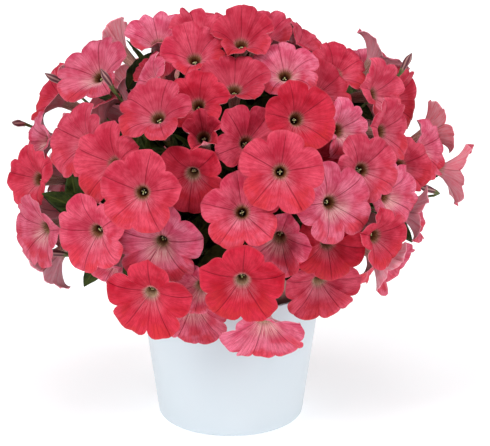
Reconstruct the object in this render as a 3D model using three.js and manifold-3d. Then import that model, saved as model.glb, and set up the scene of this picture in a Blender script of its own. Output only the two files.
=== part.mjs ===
// A petunia in bloom: a grower's pot of compost that stands in a white cover pot, with a bushy plant
// whose coral trumpets hide all but the lower half of the pots.
// Millimetres, +Z up, origin at the centre of the cover pot's underside, front of the plant towards -Y.
import * as THREE from 'three';
import { mergeVertices } from 'three/addons/utils/BufferGeometryUtils.js';
import Module from 'manifold-3d';

const wasm = await Module();
wasm.setup();

// ---------------------------------------------------------------- driving dimensions
const GAP = 0.35; // between two pieces that touch
const FACETS = 32; // round the pots

const COVER = { rimR: 72, baseR: 56.5, height: 110, wall: 2.2, floor: 3, edgeR: 6.5 };
const GROWER = { rimR: 67, baseR: 50, height: 127, wall: 1.3, floor: 2, collar: 14, collarOut: 1.8 };
const DRAIN = { holes: 4, r: 5, out: 30, sides: 8 };
const SOIL = { top: 118, holeR: 6.4, holeDepth: 34, dish: 2.5 };

// The surface on which the throats of the flowers lie: an ellipsoid above, a skirt round the pot below.
const BUSH = { x: -4, z: 180, r: 146, up: 130, down: 75, skirtR: 88 };
// The crown of stems inside it, and its trunk.
const CORE = { z: 172, r: 64, up: 60, down: 48, sides: 16, rings: 8, lump: 0.05 };
const TRUNK = { r: 6, sides: 8, intoCrown: 28 };

const BLOOM = {
  throatR: 4.6, limb: 11, curve: 1.9, thick: 1.4, pit: 9, lobes: 5, shoulder: 17, notch: 0.13, lobeRise: 0.9,
  midNotch: 0.5, midVein: 0.62, tube: 26, tubeEndR: 2.6, calyx: 9, calyxR: 4.6, stalkR: 1.35,
};
// Two stalks meet at a share of the way from the first one's calyx to the root.
const STALK = { join: 0.2, sides: 3, tipR: 0.7, longest: 72, gap: 0.5, step: 4 };
const LEAF = { thick: 1.5, stemR: 1.5, fold: 0.22, droop: 0.16, reach: 130, intoCrown: 8 };
const BUD = {
  length: 17, r: 2.7, tailR: 1.6, tipR: 0.5, footR: 1.4, stemR: 1.1, sides: 5, leans: [0.3, 0.9, 1.8, -0.4],
};

// Flowers and leaves that the photograph doesn't show, spread over directions down to a lowest height.
const HIDDEN = {
  places: 96, lowest: -0.4, widest: 66, narrowest: 58, deepest: -6, flattest: 3,
  facesCamera: 0.2, edge: 0.45, edgeIn: 20, turned: 12, sunk: 8, raised: 6,
};
const INNER_LEAVES = { places: 72, lowest: -0.4, shortest: 44, longest: 62, sunk: 10, tries: 14 };

// What a flower's moves may cost at most, and the cost of 1 mm in depth and sideways and of the two tilts.
const COST = { mostSeen: 1000, mostHidden: 130, depth: 5, aside: 10, smallTilt: 25, largeTilt: 56 };

// The viewpoint of the photograph, from which the flowers that it shows were read off.
const VIEW = {
  lift: 16, distance: 1592, scale: 0.78, axisX: 230.5, baseY: 416.5, aimX: 11.3, aimZ: 157,
  before: 260, behind: 200,
};

const COLOURS = {
  cover_pot: [0xe4ebf2, 0.32], grower_pot: [0x8d6a6a, 0.55], soil: [0x2c211a, 0.95],
  foliage: [0x3c5a2c, 0.6], coral: [0xd73c4b, 0.55], pink: [0xe25f82, 0.55],
};

const rad = THREE.MathUtils.degToRad;
const V = (x, y, z) => new THREE.Vector3(x, y, z);
const UP = V(0, 0, 1);
const ROOT = V(BUSH.x, 0, 160);

// ---------------------------------------------------------------- seeded draws
function drawsFrom(seed) {
  let state = seed >>> 0;
  return (low, high) => {
    state = (Math.imul(state, 1664525) + 1013904223) >>> 0;
    return low + ((high - low) * state) / 4294967296;
  };
}

// A direction from its bearing, 0 at the front and positive to the right, and its height above the horizon.
function facing(bearing, height) {
  const b = rad(bearing);
  const h = rad(height);
  return V(Math.sin(b) * Math.cos(h), -Math.cos(b) * Math.cos(h), Math.sin(h));
}

const TO_CAMERA = facing(0, VIEW.lift);
const SCREEN_UP = V(0, Math.sin(rad(VIEW.lift)), Math.cos(rad(VIEW.lift)));
const SCREEN = { out: TO_CAMERA, right: V(1, 0, 0), up: SCREEN_UP };

// ---------------------------------------------------------------- flowers that the photograph shows
// Each row: layer (3 stands out most, 0 lies deepest), x and y of the throat in the photograph's 490 x 446
// pixels, bearing and height that it faces, its width in mm, the turn of its lobes in degrees, and how far
// its edge is swept back in mm, negative where it is cupped.
const SEEN = [
  [3, 281, 171, 0, 16, 63, -8, 0],
  [2, 96, 74, -36, 42, 62, 18, 0],
  [2, 197, 103, -14, 44, 50, 0, 2],
  [2, 234, 86, 2, 58, 53, 0, -3],
  [2, 286, 72, -4, 50, 53, 14, 2],
  [2, 375, 92, 60, 14, 55, 0, 0],
  [2, 157, 117, -20, 48, 55, -4, 0],
  [2, 112, 163, -40, 16, 62, 10, 0],
  [2, 297, 117, 16, 22, 56, 10, 0],
  [2, 331, 202, 26, 12, 62, 16, 2],
  [2, 141, 192, -10, 14, 60, -8, 0],
  [2, 242, 212, -1, 18, 59, 8, 0],
  [2, 94, 231, -30, 8, 60, 18, 0],
  [2, 330, 243, 12, -3, 56, -26, 2],
  [2, 149, 294, -12, -14, 65, -6, 0],
  [2, 242, 281, 0, -10, 63, -4, 0],
  [2, 203, 128, -5, 34, 30, 10, -9],
  [1, 193, 55, -5, 52, 50, 24, 0],
  [1, 239, 44, 10, 58, 50, 0, -4],
  [1, 377, 57, 106, 50, 52, 0, 0],
  [1, 246, 141, 0, 24, 54, 34, 0],
  [1, 189, 168, -8, 12, 54, 32, 0],
  [1, 82, 140, -52, 22, 60, 12, 0],
  [1, 33, 178, -50, 12, 54, 20, 0],
  [1, 41, 228, -50, -4, 58, 0, 0],
  [1, 320, 90, 42, 32, 50, 10, 0],
  [1, 340, 128, 46, 15, 48, 0, 2],
  [1, 384, 129, 52, 10, 50, 0, 0],
  [1, 422, 148, 60, 12, 48, 0, 0],
  [1, 388, 195, 50, 4, 52, 16, 0],
  [1, 281, 238, 4, -20, 50, -20, -6],
  [1, 155, 242, -5, -6, 67, 0, 3],
  [1, 380, 257, 66, -28, 46, 0, -7],
  [1, 265, 323, 2, -42, 63, 20, -4],
  [0, 322, 283, 14, -18, 60, 0, 0],
  [0, 117, 46, -118, 38, 46, 0, -5],
  [0, 156, 39, -15, 62, 48, 20, -3],
  [0, 168, 62, -50, 50, 42, 0, -4],
  [0, 153, 80, -72, 28, 46, 30, 4],
  [0, 196, 38, -2, 66, 46, 10, -4],
  [0, 221, 32, 0, 72, 48, 0, -5],
  [0, 262, 36, 22, 62, 46, 0, -5],
  [0, 300, 44, 84, 50, 46, 0, -3],
  [0, 338, 70, 28, 46, 48, -5, 0],
  [0, 368, 66, 18, 56, 42, 0, 3],
  [0, 391, 84, 62, 22, 54, 10, -1],
  [0, 328, 150, 18, 12, 46, 0, 0],
  [0, 405, 164, 52, 12, 46, 0, 0],
  [0, 362, 172, 34, 20, 52, 20, 0],
  [0, 434, 130, 104, 28, 44, 0, -5],
  [0, 452, 168, 92, -14, 52, 0, -4],
  [0, 92, 116, -125, 42, 48, 0, 0],
  [0, 56, 96, -78, 30, 52, 0, -3],
  [0, 44, 138, -62, 16, 46, 0, 2],
  [0, 49, 257, -74, -40, 52, 0, -4],
  [0, 112, 262, -50, -34, 44, 0, -4],
  [0, 200, 288, -8, -12, 46, 20, 2],
  [0, 374, 240, 42, -8, 46, 0, 0],
  [0, 404, 206, 84, -8, 46, 0, -3],
  [0, 190, 309, -6, -28, 58, 10, -2],
];
const LAYER_START = [-10, -2, 4, 10]; // how far in front of the bush's surface each layer likes to be

// ---------------------------------------------------------------- leaves and buds in the photograph
// Leaf: x and y of the middle of its blade in pixels, depth under the bush's surface, the way it points on
// the picture (0 right, 90 up), how far its tip leans out, its length and its width.
const SEEN_LEAVES = [
  [62, 203, 34, 150, 10, 44, 20],
  [66, 192, 40, 100, 10, 36, 17],
  [112, 246, 40, 20, 20, 42, 22],
  [103, 258, 44, -80, 0, 38, 20],
  [131, 137, 44, 80, 20, 44, 22],
  [142, 152, 46, -40, 20, 40, 22],
  [190, 226, 44, 60, 20, 42, 22],
  [216, 262, 34, 200, 10, 46, 22],
  [236, 252, 34, 30, 20, 44, 22],
  [292, 268, 36, -60, 10, 42, 20],
  [296, 222, 46, 90, 20, 40, 20],
  [318, 190, 42, 40, 20, 40, 20],
  [236, 106, 42, 10, 20, 44, 22],
  [262, 108, 40, 60, 20, 40, 20],
  [375, 152, 36, 0, 10, 42, 18],
  [432, 171, 26, 20, 10, 38, 17],
  [216, 44, 30, 100, 30, 36, 17],
  [330, 220, 40, -30, 10, 40, 20],
  [88, 268, 30, 230, 0, 38, 18],
  [402, 222, 34, -40, 10, 40, 18],
  [134, 60, 32, 60, 30, 36, 16],
];
// Bud: x and y of its middle in pixels, height over the bush's surface, the way it points on the picture.
const SEEN_BUDS = [
  [52, 77, 4, 150],
  [25, 121, 2, 175],
  [180, 14, 6, 130],
  [189, 17, 4, 85],
  [105, 77, 4, 120],
  [226, 46, 8, 60],
  [255, 24, 18, 100],
  [401, 60, 2, 60],
  [306, 208, 6, 130],
  [432, 188, 2, 160],
  [50, 254, 4, 170],
  [410, 154, 8, 170],
];

// ---------------------------------------------------------------- shape of a flower
// A flower's own frame has its throat at the origin, faces +Z, and has a vein of its limb towards +Y.
function rimRadius(bloom, angle) {
  const notch = ((1 - Math.cos(BLOOM.lobes * (angle - Math.PI / 2))) / 2) ** 3;
  return (bloom.width / 2) * (1 - BLOOM.notch * notch);
}

// Height of the limb above the throat at a radius and an angle.
function limbHeight(bloom, radius, angle) {
  const t = Math.max(0, (radius - BLOOM.throatR) / (bloom.width / 2 - BLOOM.throatR));
  const rise = BLOOM.limb * (1 - Math.max(0, 1 - t) ** BLOOM.curve) - bloom.back * t * t;
  const ripple =
    bloom.saddle * Math.cos(2 * angle + bloom.saddleAt) +
    bloom.sway * Math.cos(3 * angle + bloom.swayAt) +
    BLOOM.lobeRise * Math.cos(BLOOM.lobes * (angle - Math.PI / 2) + Math.PI);
  return rise + ripple * t * t;
}

function makeBloom(width, turn, back, draw) {
  const saddle = draw(0.6, 2.2);
  const saddleAt = draw(0, 2 * Math.PI);
  const sway = draw(0.2, 1.3);
  const swayAt = draw(0, 2 * Math.PI);
  return { width, turn, back, saddle, saddleAt, sway, swayAt };
}

// Turns a flower to face a direction, with one vein turned from upright by its turn.
function aim(bloom, face) {
  bloom.face = face;
  const rise = UP.clone().addScaledVector(face, -face.z);
  const up = (rise.length() > 0.05 ? rise : V(0, 1, 0)).normalize();
  bloom.y = up.applyAxisAngle(face, rad(bloom.turn));
  bloom.x = bloom.y.clone().cross(face);
}

// A point of a flower from its radius, angle and height in the flower's own frame.
function pointOf(bloom, r, angle, z) {
  return bloom.at.clone()
    .addScaledVector(bloom.x, r * Math.cos(angle))
    .addScaledVector(bloom.y, r * Math.sin(angle))
    .addScaledVector(bloom.face, z);
}

// Puts a flower at a place, with sample points of its limb, and balls along its tube, calyx and stalk.
function moveTo(bloom, at) {
  bloom.at = at;
  bloom.limbPoints = [];
  for (const [share, count] of [[1, 20], [0.8, 10], [0.55, 10]]) {
    for (let i = 0; i < count; i++) {
      const angle = Math.PI / 2 + (2 * Math.PI * i) / count;
      const r = rimRadius(bloom, angle) * share;
      bloom.limbPoints.push(pointOf(bloom, r, angle, limbHeight(bloom, r, angle)));
    }
  }
  bloom.base = pointOf(bloom, 0, 0, -(BLOOM.tube + BLOOM.calyx));
  bloom.stem = [];
  for (let i = 1; i <= 4; i++) {
    const r = BLOOM.throatR + ((BLOOM.tubeEndR - BLOOM.throatR) * i) / 4;
    bloom.stem.push([pointOf(bloom, 0, 0, (-BLOOM.tube * i) / 4), r]);
  }
  bloom.stem.push([pointOf(bloom, 0, 0, -(BLOOM.tube + 0.4 * BLOOM.calyx)), BLOOM.calyxR]);
  const way = ROOT.clone().sub(bloom.base).normalize();
  const p = bloom.base.clone();
  while (coreLevel(p, 0) > 1) {
    bloom.stem.push([p.clone(), BLOOM.stalkR]);
    p.addScaledVector(way, STALK.step);
  }
}

// ---------------------------------------------------------------- what clears what
const STIFF_BALLS = 5; // the balls of tube and calyx, before those of the stalk
const CLEAR = { limb: 2.2, rim: 1.0, stem: 1.2, reach: 120, potZ: 133, potR: 77, core: 3 };

// Radius, angle and height over the limb of a point in a flower's own frame.
function overLimb(bloom, point) {
  const d = point.clone().sub(bloom.at);
  const x = d.dot(bloom.x);
  const y = d.dot(bloom.y);
  const r = Math.hypot(x, y);
  const angle = Math.atan2(y, x);
  return { past: r - rimRadius(bloom, angle), over: d.dot(bloom.face) - limbHeight(bloom, r, angle) };
}

// True where the points of a thin sheet come too near a flower's limb or lie on both sides of it.
function sheetCuts(points, bloom) {
  let above = false;
  let below = false;
  for (const point of points) {
    const { past, over } = overLimb(bloom, point);
    if (past > CLEAR.rim) continue;
    if (Math.abs(over) < CLEAR.limb) return true;
    if (over > 0) above = true;
    else below = true;
    if (above && below) return true;
  }
  return false;
}

// True where a row of balls, each a point and a radius, touches a flower's limb.
function rowHitsLimb(row, bloom) {
  for (const [point, thick] of row) {
    const { past, over } = overLimb(bloom, point);
    if (past <= thick + CLEAR.rim && Math.abs(over) < CLEAR.limb + thick) return true;
  }
  return false;
}

function rowsMeet(rowA, rowB) {
  return rowA.some(([p, rp]) => rowB.some(([q, rq]) => p.distanceTo(q) < rp + rq + CLEAR.stem));
}

function clash(a, b) {
  if (a.at.distanceTo(b.at) > CLEAR.reach) return false;
  return sheetCuts(a.limbPoints, b) || sheetCuts(b.limbPoints, a) || rowHitsLimb(a.stem, b) ||
    rowHitsLimb(b.stem, a) || rowsMeet(a.stem, b.stem);
}

function overPot(p) {
  return p.z < CLEAR.potZ && Math.hypot(p.x, p.y) < CLEAR.potR;
}

// Below 1 inside the crown grown by a margin.
function coreLevel(p, margin) {
  const tall = (p.z > CORE.z ? CORE.up : CORE.down) + margin;
  return (Math.hypot(p.x - BUSH.x, p.y) / (CORE.r + margin)) ** 2 + ((p.z - CORE.z) / tall) ** 2;
}

function hitsFixed(bloom) {
  const stiff = bloom.stem.slice(0, STIFF_BALLS + 1);
  return bloom.limbPoints.some(overPot) || bloom.stem.some(([p]) => overPot(p)) ||
    stiff.some(([p, r]) => coreLevel(p, r + CLEAR.core) < 1);
}

// ---------------------------------------------------------------- places on the bush
// Below 1 inside the bush's surface, 1 on it, above 1 outside.
function bushLevel(p) {
  const r = Math.hypot(p.x - BUSH.x, p.y);
  if (p.z >= BUSH.z) return (r / BUSH.r) ** 2 + ((p.z - BUSH.z) / BUSH.up) ** 2;
  const over = Math.max(0, r - BUSH.skirtR) / (BUSH.r - BUSH.skirtR);
  return over ** 2 + ((BUSH.z - p.z) / BUSH.down) ** 2;
}

// Outward from the bush's surface at a point.
function outward(p) {
  const r = Math.max(1, Math.hypot(p.x - BUSH.x, p.y));
  const upper = p.z >= BUSH.z;
  const across = upper ? r / BUSH.r ** 2 : Math.max(4, r - BUSH.skirtR) / (BUSH.r - BUSH.skirtR) ** 2;
  const rise = (p.z - BUSH.z) / (upper ? BUSH.up : BUSH.down) ** 2;
  return V(((p.x - BUSH.x) / r) * across, (p.y / r) * across, rise).normalize();
}

// The point of the bush's surface that the photograph shows at a pixel, or the nearest one to it.
function seenAt(px, py) {
  const rise = (VIEW.baseY - py) * VIEW.scale;
  const onPlane = V((px - VIEW.axisX) * VIEW.scale, 0, 0).addScaledVector(SCREEN_UP, rise);
  const camera = V(VIEW.aimX, 0, VIEW.aimZ).addScaledVector(TO_CAMERA, VIEW.distance);
  const ray = onPlane.clone().sub(camera).normalize();
  let best = null;
  for (let s = VIEW.distance - VIEW.before; s < VIEW.distance + VIEW.behind; s += 1) {
    const p = camera.clone().addScaledVector(ray, s);
    const level = bushLevel(p);
    if (!best || level < best.level) best = { level, p };
    if (level <= 1) return p;
  }
  return best.p;
}

// Directions spread evenly over a sphere above a lowest height.
function spread(count, lowest) {
  const turn = Math.PI * (3 - Math.sqrt(5));
  return Array.from({ length: count }, (_, i) => {
    const z = lowest + (1 - lowest) * ((i + 0.5) / count);
    const flat = Math.sqrt(1 - z * z);
    return V(Math.cos(i * turn) * flat, Math.sin(i * turn) * flat, z);
  });
}

// ---------------------------------------------------------------- placing the flowers
// The small moves and tilts that a flower may make to clear its neighbours, the least costly first.
function smallMoves() {
  const small = [[9, 0], [-9, 0], [0, 9], [0, -9]];
  const large = [[14, 14], [14, -14], [-14, 14], [-14, -14], [20, 0], [-20, 0], [0, 20], [0, -20]];
  const tilts = [[0, 0, 0]];
  tilts.push(...small.map((tilt) => [...tilt, COST.smallTilt]));
  tilts.push(...large.map((tilt) => [...tilt, COST.largeTilt]));
  const moves = [];
  for (let depth = -26; depth <= 26; depth += 2) {
    for (const [ring, count] of [[0, 1], [3, 6], [6, 8], [9, 10]]) {
      for (let i = 0; i < count; i++) {
        const a = (2 * Math.PI * i) / count;
        for (const [tip, swing, tiltCost] of tilts) {
          const cost = Math.abs(depth) * COST.depth + ring * COST.aside + tiltCost;
          moves.push({ depth, right: ring * Math.cos(a), up: ring * Math.sin(a), tip, swing, cost });
        }
      }
    }
  }
  return moves.sort((p, q) => p.cost - q.cost);
}
const MOVES = smallMoves();
const SHIFTS = MOVES.filter((move) => move.tip === 0 && move.swing === 0);

// Puts a flower as near to a spot as it clears the others, or says that it can't.
function settle(bloom, spot, axes, bearing, height, placed, mostCost) {
  for (const move of MOVES) {
    if (move.cost > mostCost) return false;
    aim(bloom, facing(bearing + move.swing, height + move.tip));
    moveTo(bloom, shifted(spot, axes, move.right, move.up, move.depth));
    if (!hitsFixed(bloom) && !placed.some((other) => clash(bloom, other))) return true;
  }
  return false;
}

function shifted(spot, axes, right, up, out) {
  return spot.clone()
    .addScaledVector(axes.right, right).addScaledVector(axes.up, up).addScaledVector(axes.out, out);
}

function placeSeenBlooms(placed, draw) {
  for (const [layer, px, py, bearing, height, width, turn, back] of SEEN) {
    const bloom = makeBloom(width, turn, back, draw);
    const spot = shifted(seenAt(px, py), SCREEN, 0, 0, LAYER_START[layer]);
    if (settle(bloom, spot, SCREEN, bearing, height, placed, COST.mostSeen)) placed.push(bloom);
  }
}

// Flowers on the sides, top and back that the photograph doesn't show, spread evenly and then settled.
function placeHiddenBlooms(placed, draw) {
  for (const way of spread(HIDDEN.places, HIDDEN.lowest)) {
    const width = draw(HIDDEN.narrowest, HIDDEN.widest);
    const bloom = makeBloom(width, draw(0, 72), draw(HIDDEN.deepest, HIDDEN.flattest), draw);
    const tip = draw(-HIDDEN.turned, HIDDEN.turned);
    const swing = draw(-HIDDEN.turned, HIDDEN.turned);
    const out = draw(-HIDDEN.sunk, HIDDEN.raised);
    const spot = alongWay(way);
    const normal = outward(spot);
    if (normal.dot(TO_CAMERA) > HIDDEN.facesCamera) continue;
    const edge = Math.abs(normal.dot(TO_CAMERA)) < HIDDEN.edge ? HIDDEN.edgeIn : 0;
    const right = V(-normal.y, normal.x, 0).normalize();
    const axes = { out: normal, right, up: normal.clone().cross(right) };
    const bearing = THREE.MathUtils.radToDeg(Math.atan2(normal.x, -normal.y)) + swing;
    const height = THREE.MathUtils.radToDeg(Math.asin(normal.z)) + tip;
    const start = shifted(spot, axes, 0, 0, out - edge);
    if (settle(bloom, start, axes, bearing, height, placed, COST.mostHidden)) placed.push(bloom);
  }
}

// Where a way from the bush's middle meets its surface.
function alongWay(way) {
  const p = V(BUSH.x, 0, BUSH.z);
  while (bushLevel(p) < 1) p.add(way);
  return p;
}

// ---------------------------------------------------------------- leaves
// Half the width of a leaf at a share of its length, as a share of half its widest.
function leafOutline(share) {
  return Math.sin(Math.PI * Math.min(1, Math.max(0, share)) ** 0.8) ** 0.85;
}

// Height of a blade over its own plane.
function leafHeight(leaf, share, side) {
  return LEAF.fold * Math.abs(side) - LEAF.droop * leaf.length * share * share;
}

// A point of a blade: share of its length, and side in mm across it.
function leafPoint(leaf, share, side, below = 0) {
  return leaf.at.clone()
    .addScaledVector(leaf.along, share * leaf.length)
    .addScaledVector(leaf.across, side)
    .addScaledVector(leaf.normal, leafHeight(leaf, share, side) - below);
}

// Turns a leaf to point along a direction with its upper side towards another.
function layLeaf(leaf, at, along, upper) {
  leaf.at = at;
  leaf.along = along.clone().normalize();
  leaf.normal = upper.clone().addScaledVector(leaf.along, -upper.dot(leaf.along)).normalize();
  leaf.across = leaf.normal.clone().cross(leaf.along);
  leaf.points = [];
  for (const share of [0.1, 0.25, 0.4, 0.55, 0.7, 0.85, 1]) {
    for (const side of [-1, -0.5, 0, 0.5, 1]) {
      leaf.points.push(leafPoint(leaf, share, (side * leafOutline(share) * leaf.width) / 2));
    }
  }
  leaf.foot = intoCore(at);
  leaf.row = ballsAlong(leaf.foot, at, LEAF.stemR);
}

// The point just inside the crown on the way from a place to the root.
function intoCore(place) {
  const way = ROOT.clone().sub(place).normalize();
  const p = place.clone();
  while (coreLevel(p, -LEAF.intoCrown) > 1) p.add(way);
  return p;
}

function ballsAlong(from, to, r) {
  const steps = Math.max(1, Math.ceil(from.distanceTo(to) / 3));
  return Array.from({ length: steps + 1 }, (_, i) => [from.clone().lerp(to, i / steps), r]);
}

// True where points, each a ball, touch a blade, or where a sheet's points lie on both sides of it.
function bladeHit(leaf, row, isSheet) {
  let above = false;
  let below = false;
  for (const [point, thick] of row) {
    const d = point.clone().sub(leaf.at);
    const share = d.dot(leaf.along) / leaf.length;
    if (share * leaf.length < -thick - 2 || share * leaf.length > leaf.length + thick + 2) continue;
    const side = d.dot(leaf.across);
    if (Math.abs(side) > (leafOutline(share) * leaf.width) / 2 + thick + 2) continue;
    const over = d.dot(leaf.normal) - leafHeight(leaf, Math.min(1, Math.max(0, share)), side);
    if (Math.abs(over) < thick + CLEAR.limb) return true;
    if (over > 0) above = true;
    else below = true;
  }
  return isSheet && above && below;
}

function leavesMeet(a, b) {
  if (a.at.distanceTo(b.at) > LEAF.reach) return false;
  return rowsMeet(a.row, b.row) || bladeHit(a, b.row, false) || bladeHit(b, a.row, false) ||
    bladeHit(a, b.points.map((p) => [p, 0]), true) || bladeHit(b, a.points.map((p) => [p, 0]), true);
}

function leafClears(leaf, blooms, leaves) {
  if (leaf.points.some(overPot) || leaf.row.some(([p]) => overPot(p))) return false;
  if (leaves.some((other) => leavesMeet(leaf, other))) return false;
  return blooms.every((b) => {
    if (b.at.distanceTo(leaf.at) > CLEAR.reach) return true;
    return !sheetCuts(leaf.points, b) && !rowHitsLimb(leaf.row, b) && !rowsMeet(leaf.row, b.stem) &&
      !bladeHit(leaf, b.stem, false) && !bladeHit(leaf, b.limbPoints.map((p) => [p, 0]), true);
  });
}

// A direction on the picture, 0 to the right and 90 up.
function onPicture(degrees) {
  const a = rad(degrees);
  return SCREEN.right.clone().multiplyScalar(Math.cos(a)).addScaledVector(SCREEN.up, Math.sin(a));
}

function placeSeenLeaves(blooms) {
  const leaves = [];
  for (const [px, py, depth, way, lean, length, width] of SEEN_LEAVES) {
    const leaf = { length, width };
    const spot = shifted(seenAt(px, py), SCREEN, 0, 0, -depth);
    const flat = onPicture(way).multiplyScalar(Math.cos(rad(lean)));
    const along = flat.addScaledVector(SCREEN.out, Math.sin(rad(lean)));
    const upper = SCREEN.out.clone().addScaledVector(SCREEN.up, 0.7);
    const found = SHIFTS.some((move) => {
      const middle = shifted(spot, SCREEN, move.right, move.up, move.depth);
      layLeaf(leaf, middle.addScaledVector(along, -length / 2), along, upper);
      return coreLevel(leaf.at, 2) > 1 && leafClears(leaf, blooms, leaves);
    });
    if (found) leaves.push(leaf);
  }
  return leaves;
}

// Leaves all round the crown, which fill the space behind the flowers.
function placeInnerLeaves(blooms, leaves, draw) {
  for (const way of spread(INNER_LEAVES.places, INNER_LEAVES.lowest)) {
    const tall = way.z > 0 ? CORE.up : CORE.down;
    const foot = V(BUSH.x + way.x * CORE.r, way.y * CORE.r, CORE.z + way.z * tall);
    for (let i = 0; i < INNER_LEAVES.tries; i++) {
      const length = draw(INNER_LEAVES.shortest, INNER_LEAVES.longest);
      const leaf = { length, width: length * draw(0.44, 0.54) };
      const lean = V(draw(-0.6, 0.6), draw(-0.6, 0.6), draw(-0.2, 0.7));
      const along = way.clone().add(lean).normalize();
      const upper = V(draw(-0.5, 0.5), draw(-0.5, 0.5), 1);
      layLeaf(leaf, foot.clone().addScaledVector(along, -INNER_LEAVES.sunk), along, upper);
      leaf.row = [];
      if (along.dot(way) > 0.5 && leafClears(leaf, blooms, leaves)) {
        leaves.push(leaf);
        break;
      }
    }
  }
}

// ---------------------------------------------------------------- buds
function layBud(bud, middle, along) {
  bud.along = along;
  bud.tail = middle.clone().addScaledVector(along, -BUD.length / 2);
  bud.tip = middle.clone().addScaledVector(along, BUD.length / 2);
  bud.bend = bud.tail.clone().addScaledVector(along, -5).lerp(ROOT, 0.04);
  bud.foot = intoCore(bud.bend);
  const stem = [...ballsAlong(bud.foot, bud.bend, BUD.stemR), ...ballsAlong(bud.bend, bud.tail, BUD.stemR)];
  bud.row = [...stem, ...ballsAlong(bud.tail, bud.tip, BUD.r)];
}

function placeBuds(blooms) {
  const buds = [];
  for (const [px, py, over, way] of SEEN_BUDS) {
    const bud = {};
    const spot = shifted(seenAt(px, py), SCREEN, 0, 0, over);
    const found = BUD.leans.some((lean) => {
      const along = onPicture(way).addScaledVector(SCREEN.out, lean).normalize();
      return SHIFTS.some((move) => {
        layBud(bud, shifted(spot, SCREEN, move.right, move.up, move.depth), along);
        return blooms.every((b) => !rowHitsLimb(bud.row, b) && !rowsMeet(bud.row, b.stem));
      });
    });
    if (found) buds.push(bud);
  }
  return buds;
}

// ---------------------------------------------------------------- two flowers to a forked stalk
function joinOf(bloom) {
  return bloom.base.clone().lerp(ROOT, STALK.join);
}

// Pairs each flower with the nearest one whose stalk reaches its own without touching anything.
function pairUp(blooms) {
  const pairs = [];
  const free = new Set(blooms);
  const toNext = (bloom) => {
    const others = blooms.filter((other) => other !== bloom);
    return Math.min(...others.map((other) => other.base.distanceTo(bloom.base)));
  };
  const order = blooms.map((bloom) => [toNext(bloom), bloom]).sort((p, q) => q[0] - p[0]);
  for (const [, main] of order) {
    if (!free.delete(main)) continue;
    const join = joinOf(main);
    const longest = coreLevel(join, CLEAR.core) > 1 ? STALK.longest : 0;
    const near = [...free].filter((other) => other.base.distanceTo(join) < longest)
      .sort((p, q) => p.base.distanceTo(join) - q.base.distanceTo(join));
    const linkOf = (other) => ballsAlong(other.base, join, BLOOM.stalkR);
    const partner = near.find((other) => linkClears(linkOf(other), main, other, blooms));
    if (partner) {
      free.delete(partner);
      partner.stem = [...partner.stem.slice(0, STIFF_BALLS), ...linkOf(partner)];
    }
    pairs.push([main, partner]);
  }
  return pairs;
}

function linkClears(row, main, other, blooms) {
  return !rowHitsLimb(row, main) && !rowsMeet(row.slice(1, -3), main.stem) &&
    blooms.every((b) => b === main || b === other || (!rowHitsLimb(row, b) && !rowsMeet(row, b.stem)));
}

// ---------------------------------------------------------------- solids
function toSolid(points, faces) {
  const vertProperties = new Float32Array(points.flatMap((p) => [p.x, p.y, p.z]));
  const triVerts = new Uint32Array(faces.flat());
  return new wasm.Manifold(new wasm.Mesh({ numProp: 3, vertProperties, triVerts }));
}

// A geometry's solid, with its doubled vertices merged and the flat triangles at its poles left out.
function solidOf(geometry) {
  const bare = new THREE.BufferGeometry().setAttribute('position', geometry.attributes.position);
  bare.setIndex(geometry.index);
  const merged = mergeVertices(bare, 1e-3);
  const points = [];
  for (let i = 0; i < merged.attributes.position.count; i++) {
    points.push(new THREE.Vector3().fromBufferAttribute(merged.attributes.position, i));
  }
  const faces = [];
  for (let i = 0; i < merged.index.count; i += 3) {
    const [a, b, c] = merged.index.array.slice(i, i + 3);
    if (a !== b && b !== c && c !== a) faces.push([a, b, c]);
  }
  const solid = toSolid(points, faces);
  return solid.volume() > 0 ? solid : toSolid(points, faces.map(([a, b, c]) => [a, c, b]));
}

// A body of revolution round the upright axis, from [radius, height] pairs.
function turned(profile, sides) {
  const geometry = new THREE.LatheGeometry(profile.map(([r, z]) => new THREE.Vector2(r, z)), sides);
  return solidOf(geometry.rotateX(Math.PI / 2));
}

// Points of a ring, from its centre, the two directions across it and its radius.
function ringRound(centre, u, v, r, sides) {
  return Array.from({ length: sides }, (_, k) => {
    const a = (2 * Math.PI * k) / sides;
    return centre.clone().addScaledVector(u, r * Math.cos(a)).addScaledVector(v, r * Math.sin(a));
  });
}

// A rod along points, with a radius at each.
function rod(points, radii, sides) {
  const rings = [];
  let u = null;
  points.forEach((p, i) => {
    const before = points[Math.max(0, i - 1)];
    const after = points[Math.min(points.length - 1, i + 1)];
    const way = after.clone().sub(before).normalize();
    if (!u) u = Math.abs(way.z) < 0.9 ? UP.clone() : V(1, 0, 0);
    u = u.clone().addScaledVector(way, -u.dot(way)).normalize();
    const v = way.clone().cross(u);
    rings.push(...ringRound(p, u, v, radii[i], sides));
  });
  const faces = [];
  const last = (points.length - 1) * sides;
  for (let i = 0; i < last; i += sides) {
    for (let k = 0; k < sides; k++) {
      const next = (k + 1) % sides;
      faces.push([i + k, i + next, i + sides + k], [i + next, i + sides + next, i + sides + k]);
    }
  }
  for (let k = 1; k < sides - 1; k++) {
    faces.push([0, k + 1, k], [last, last + k, last + k + 1]);
  }
  return toSolid(rings, faces);
}

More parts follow.
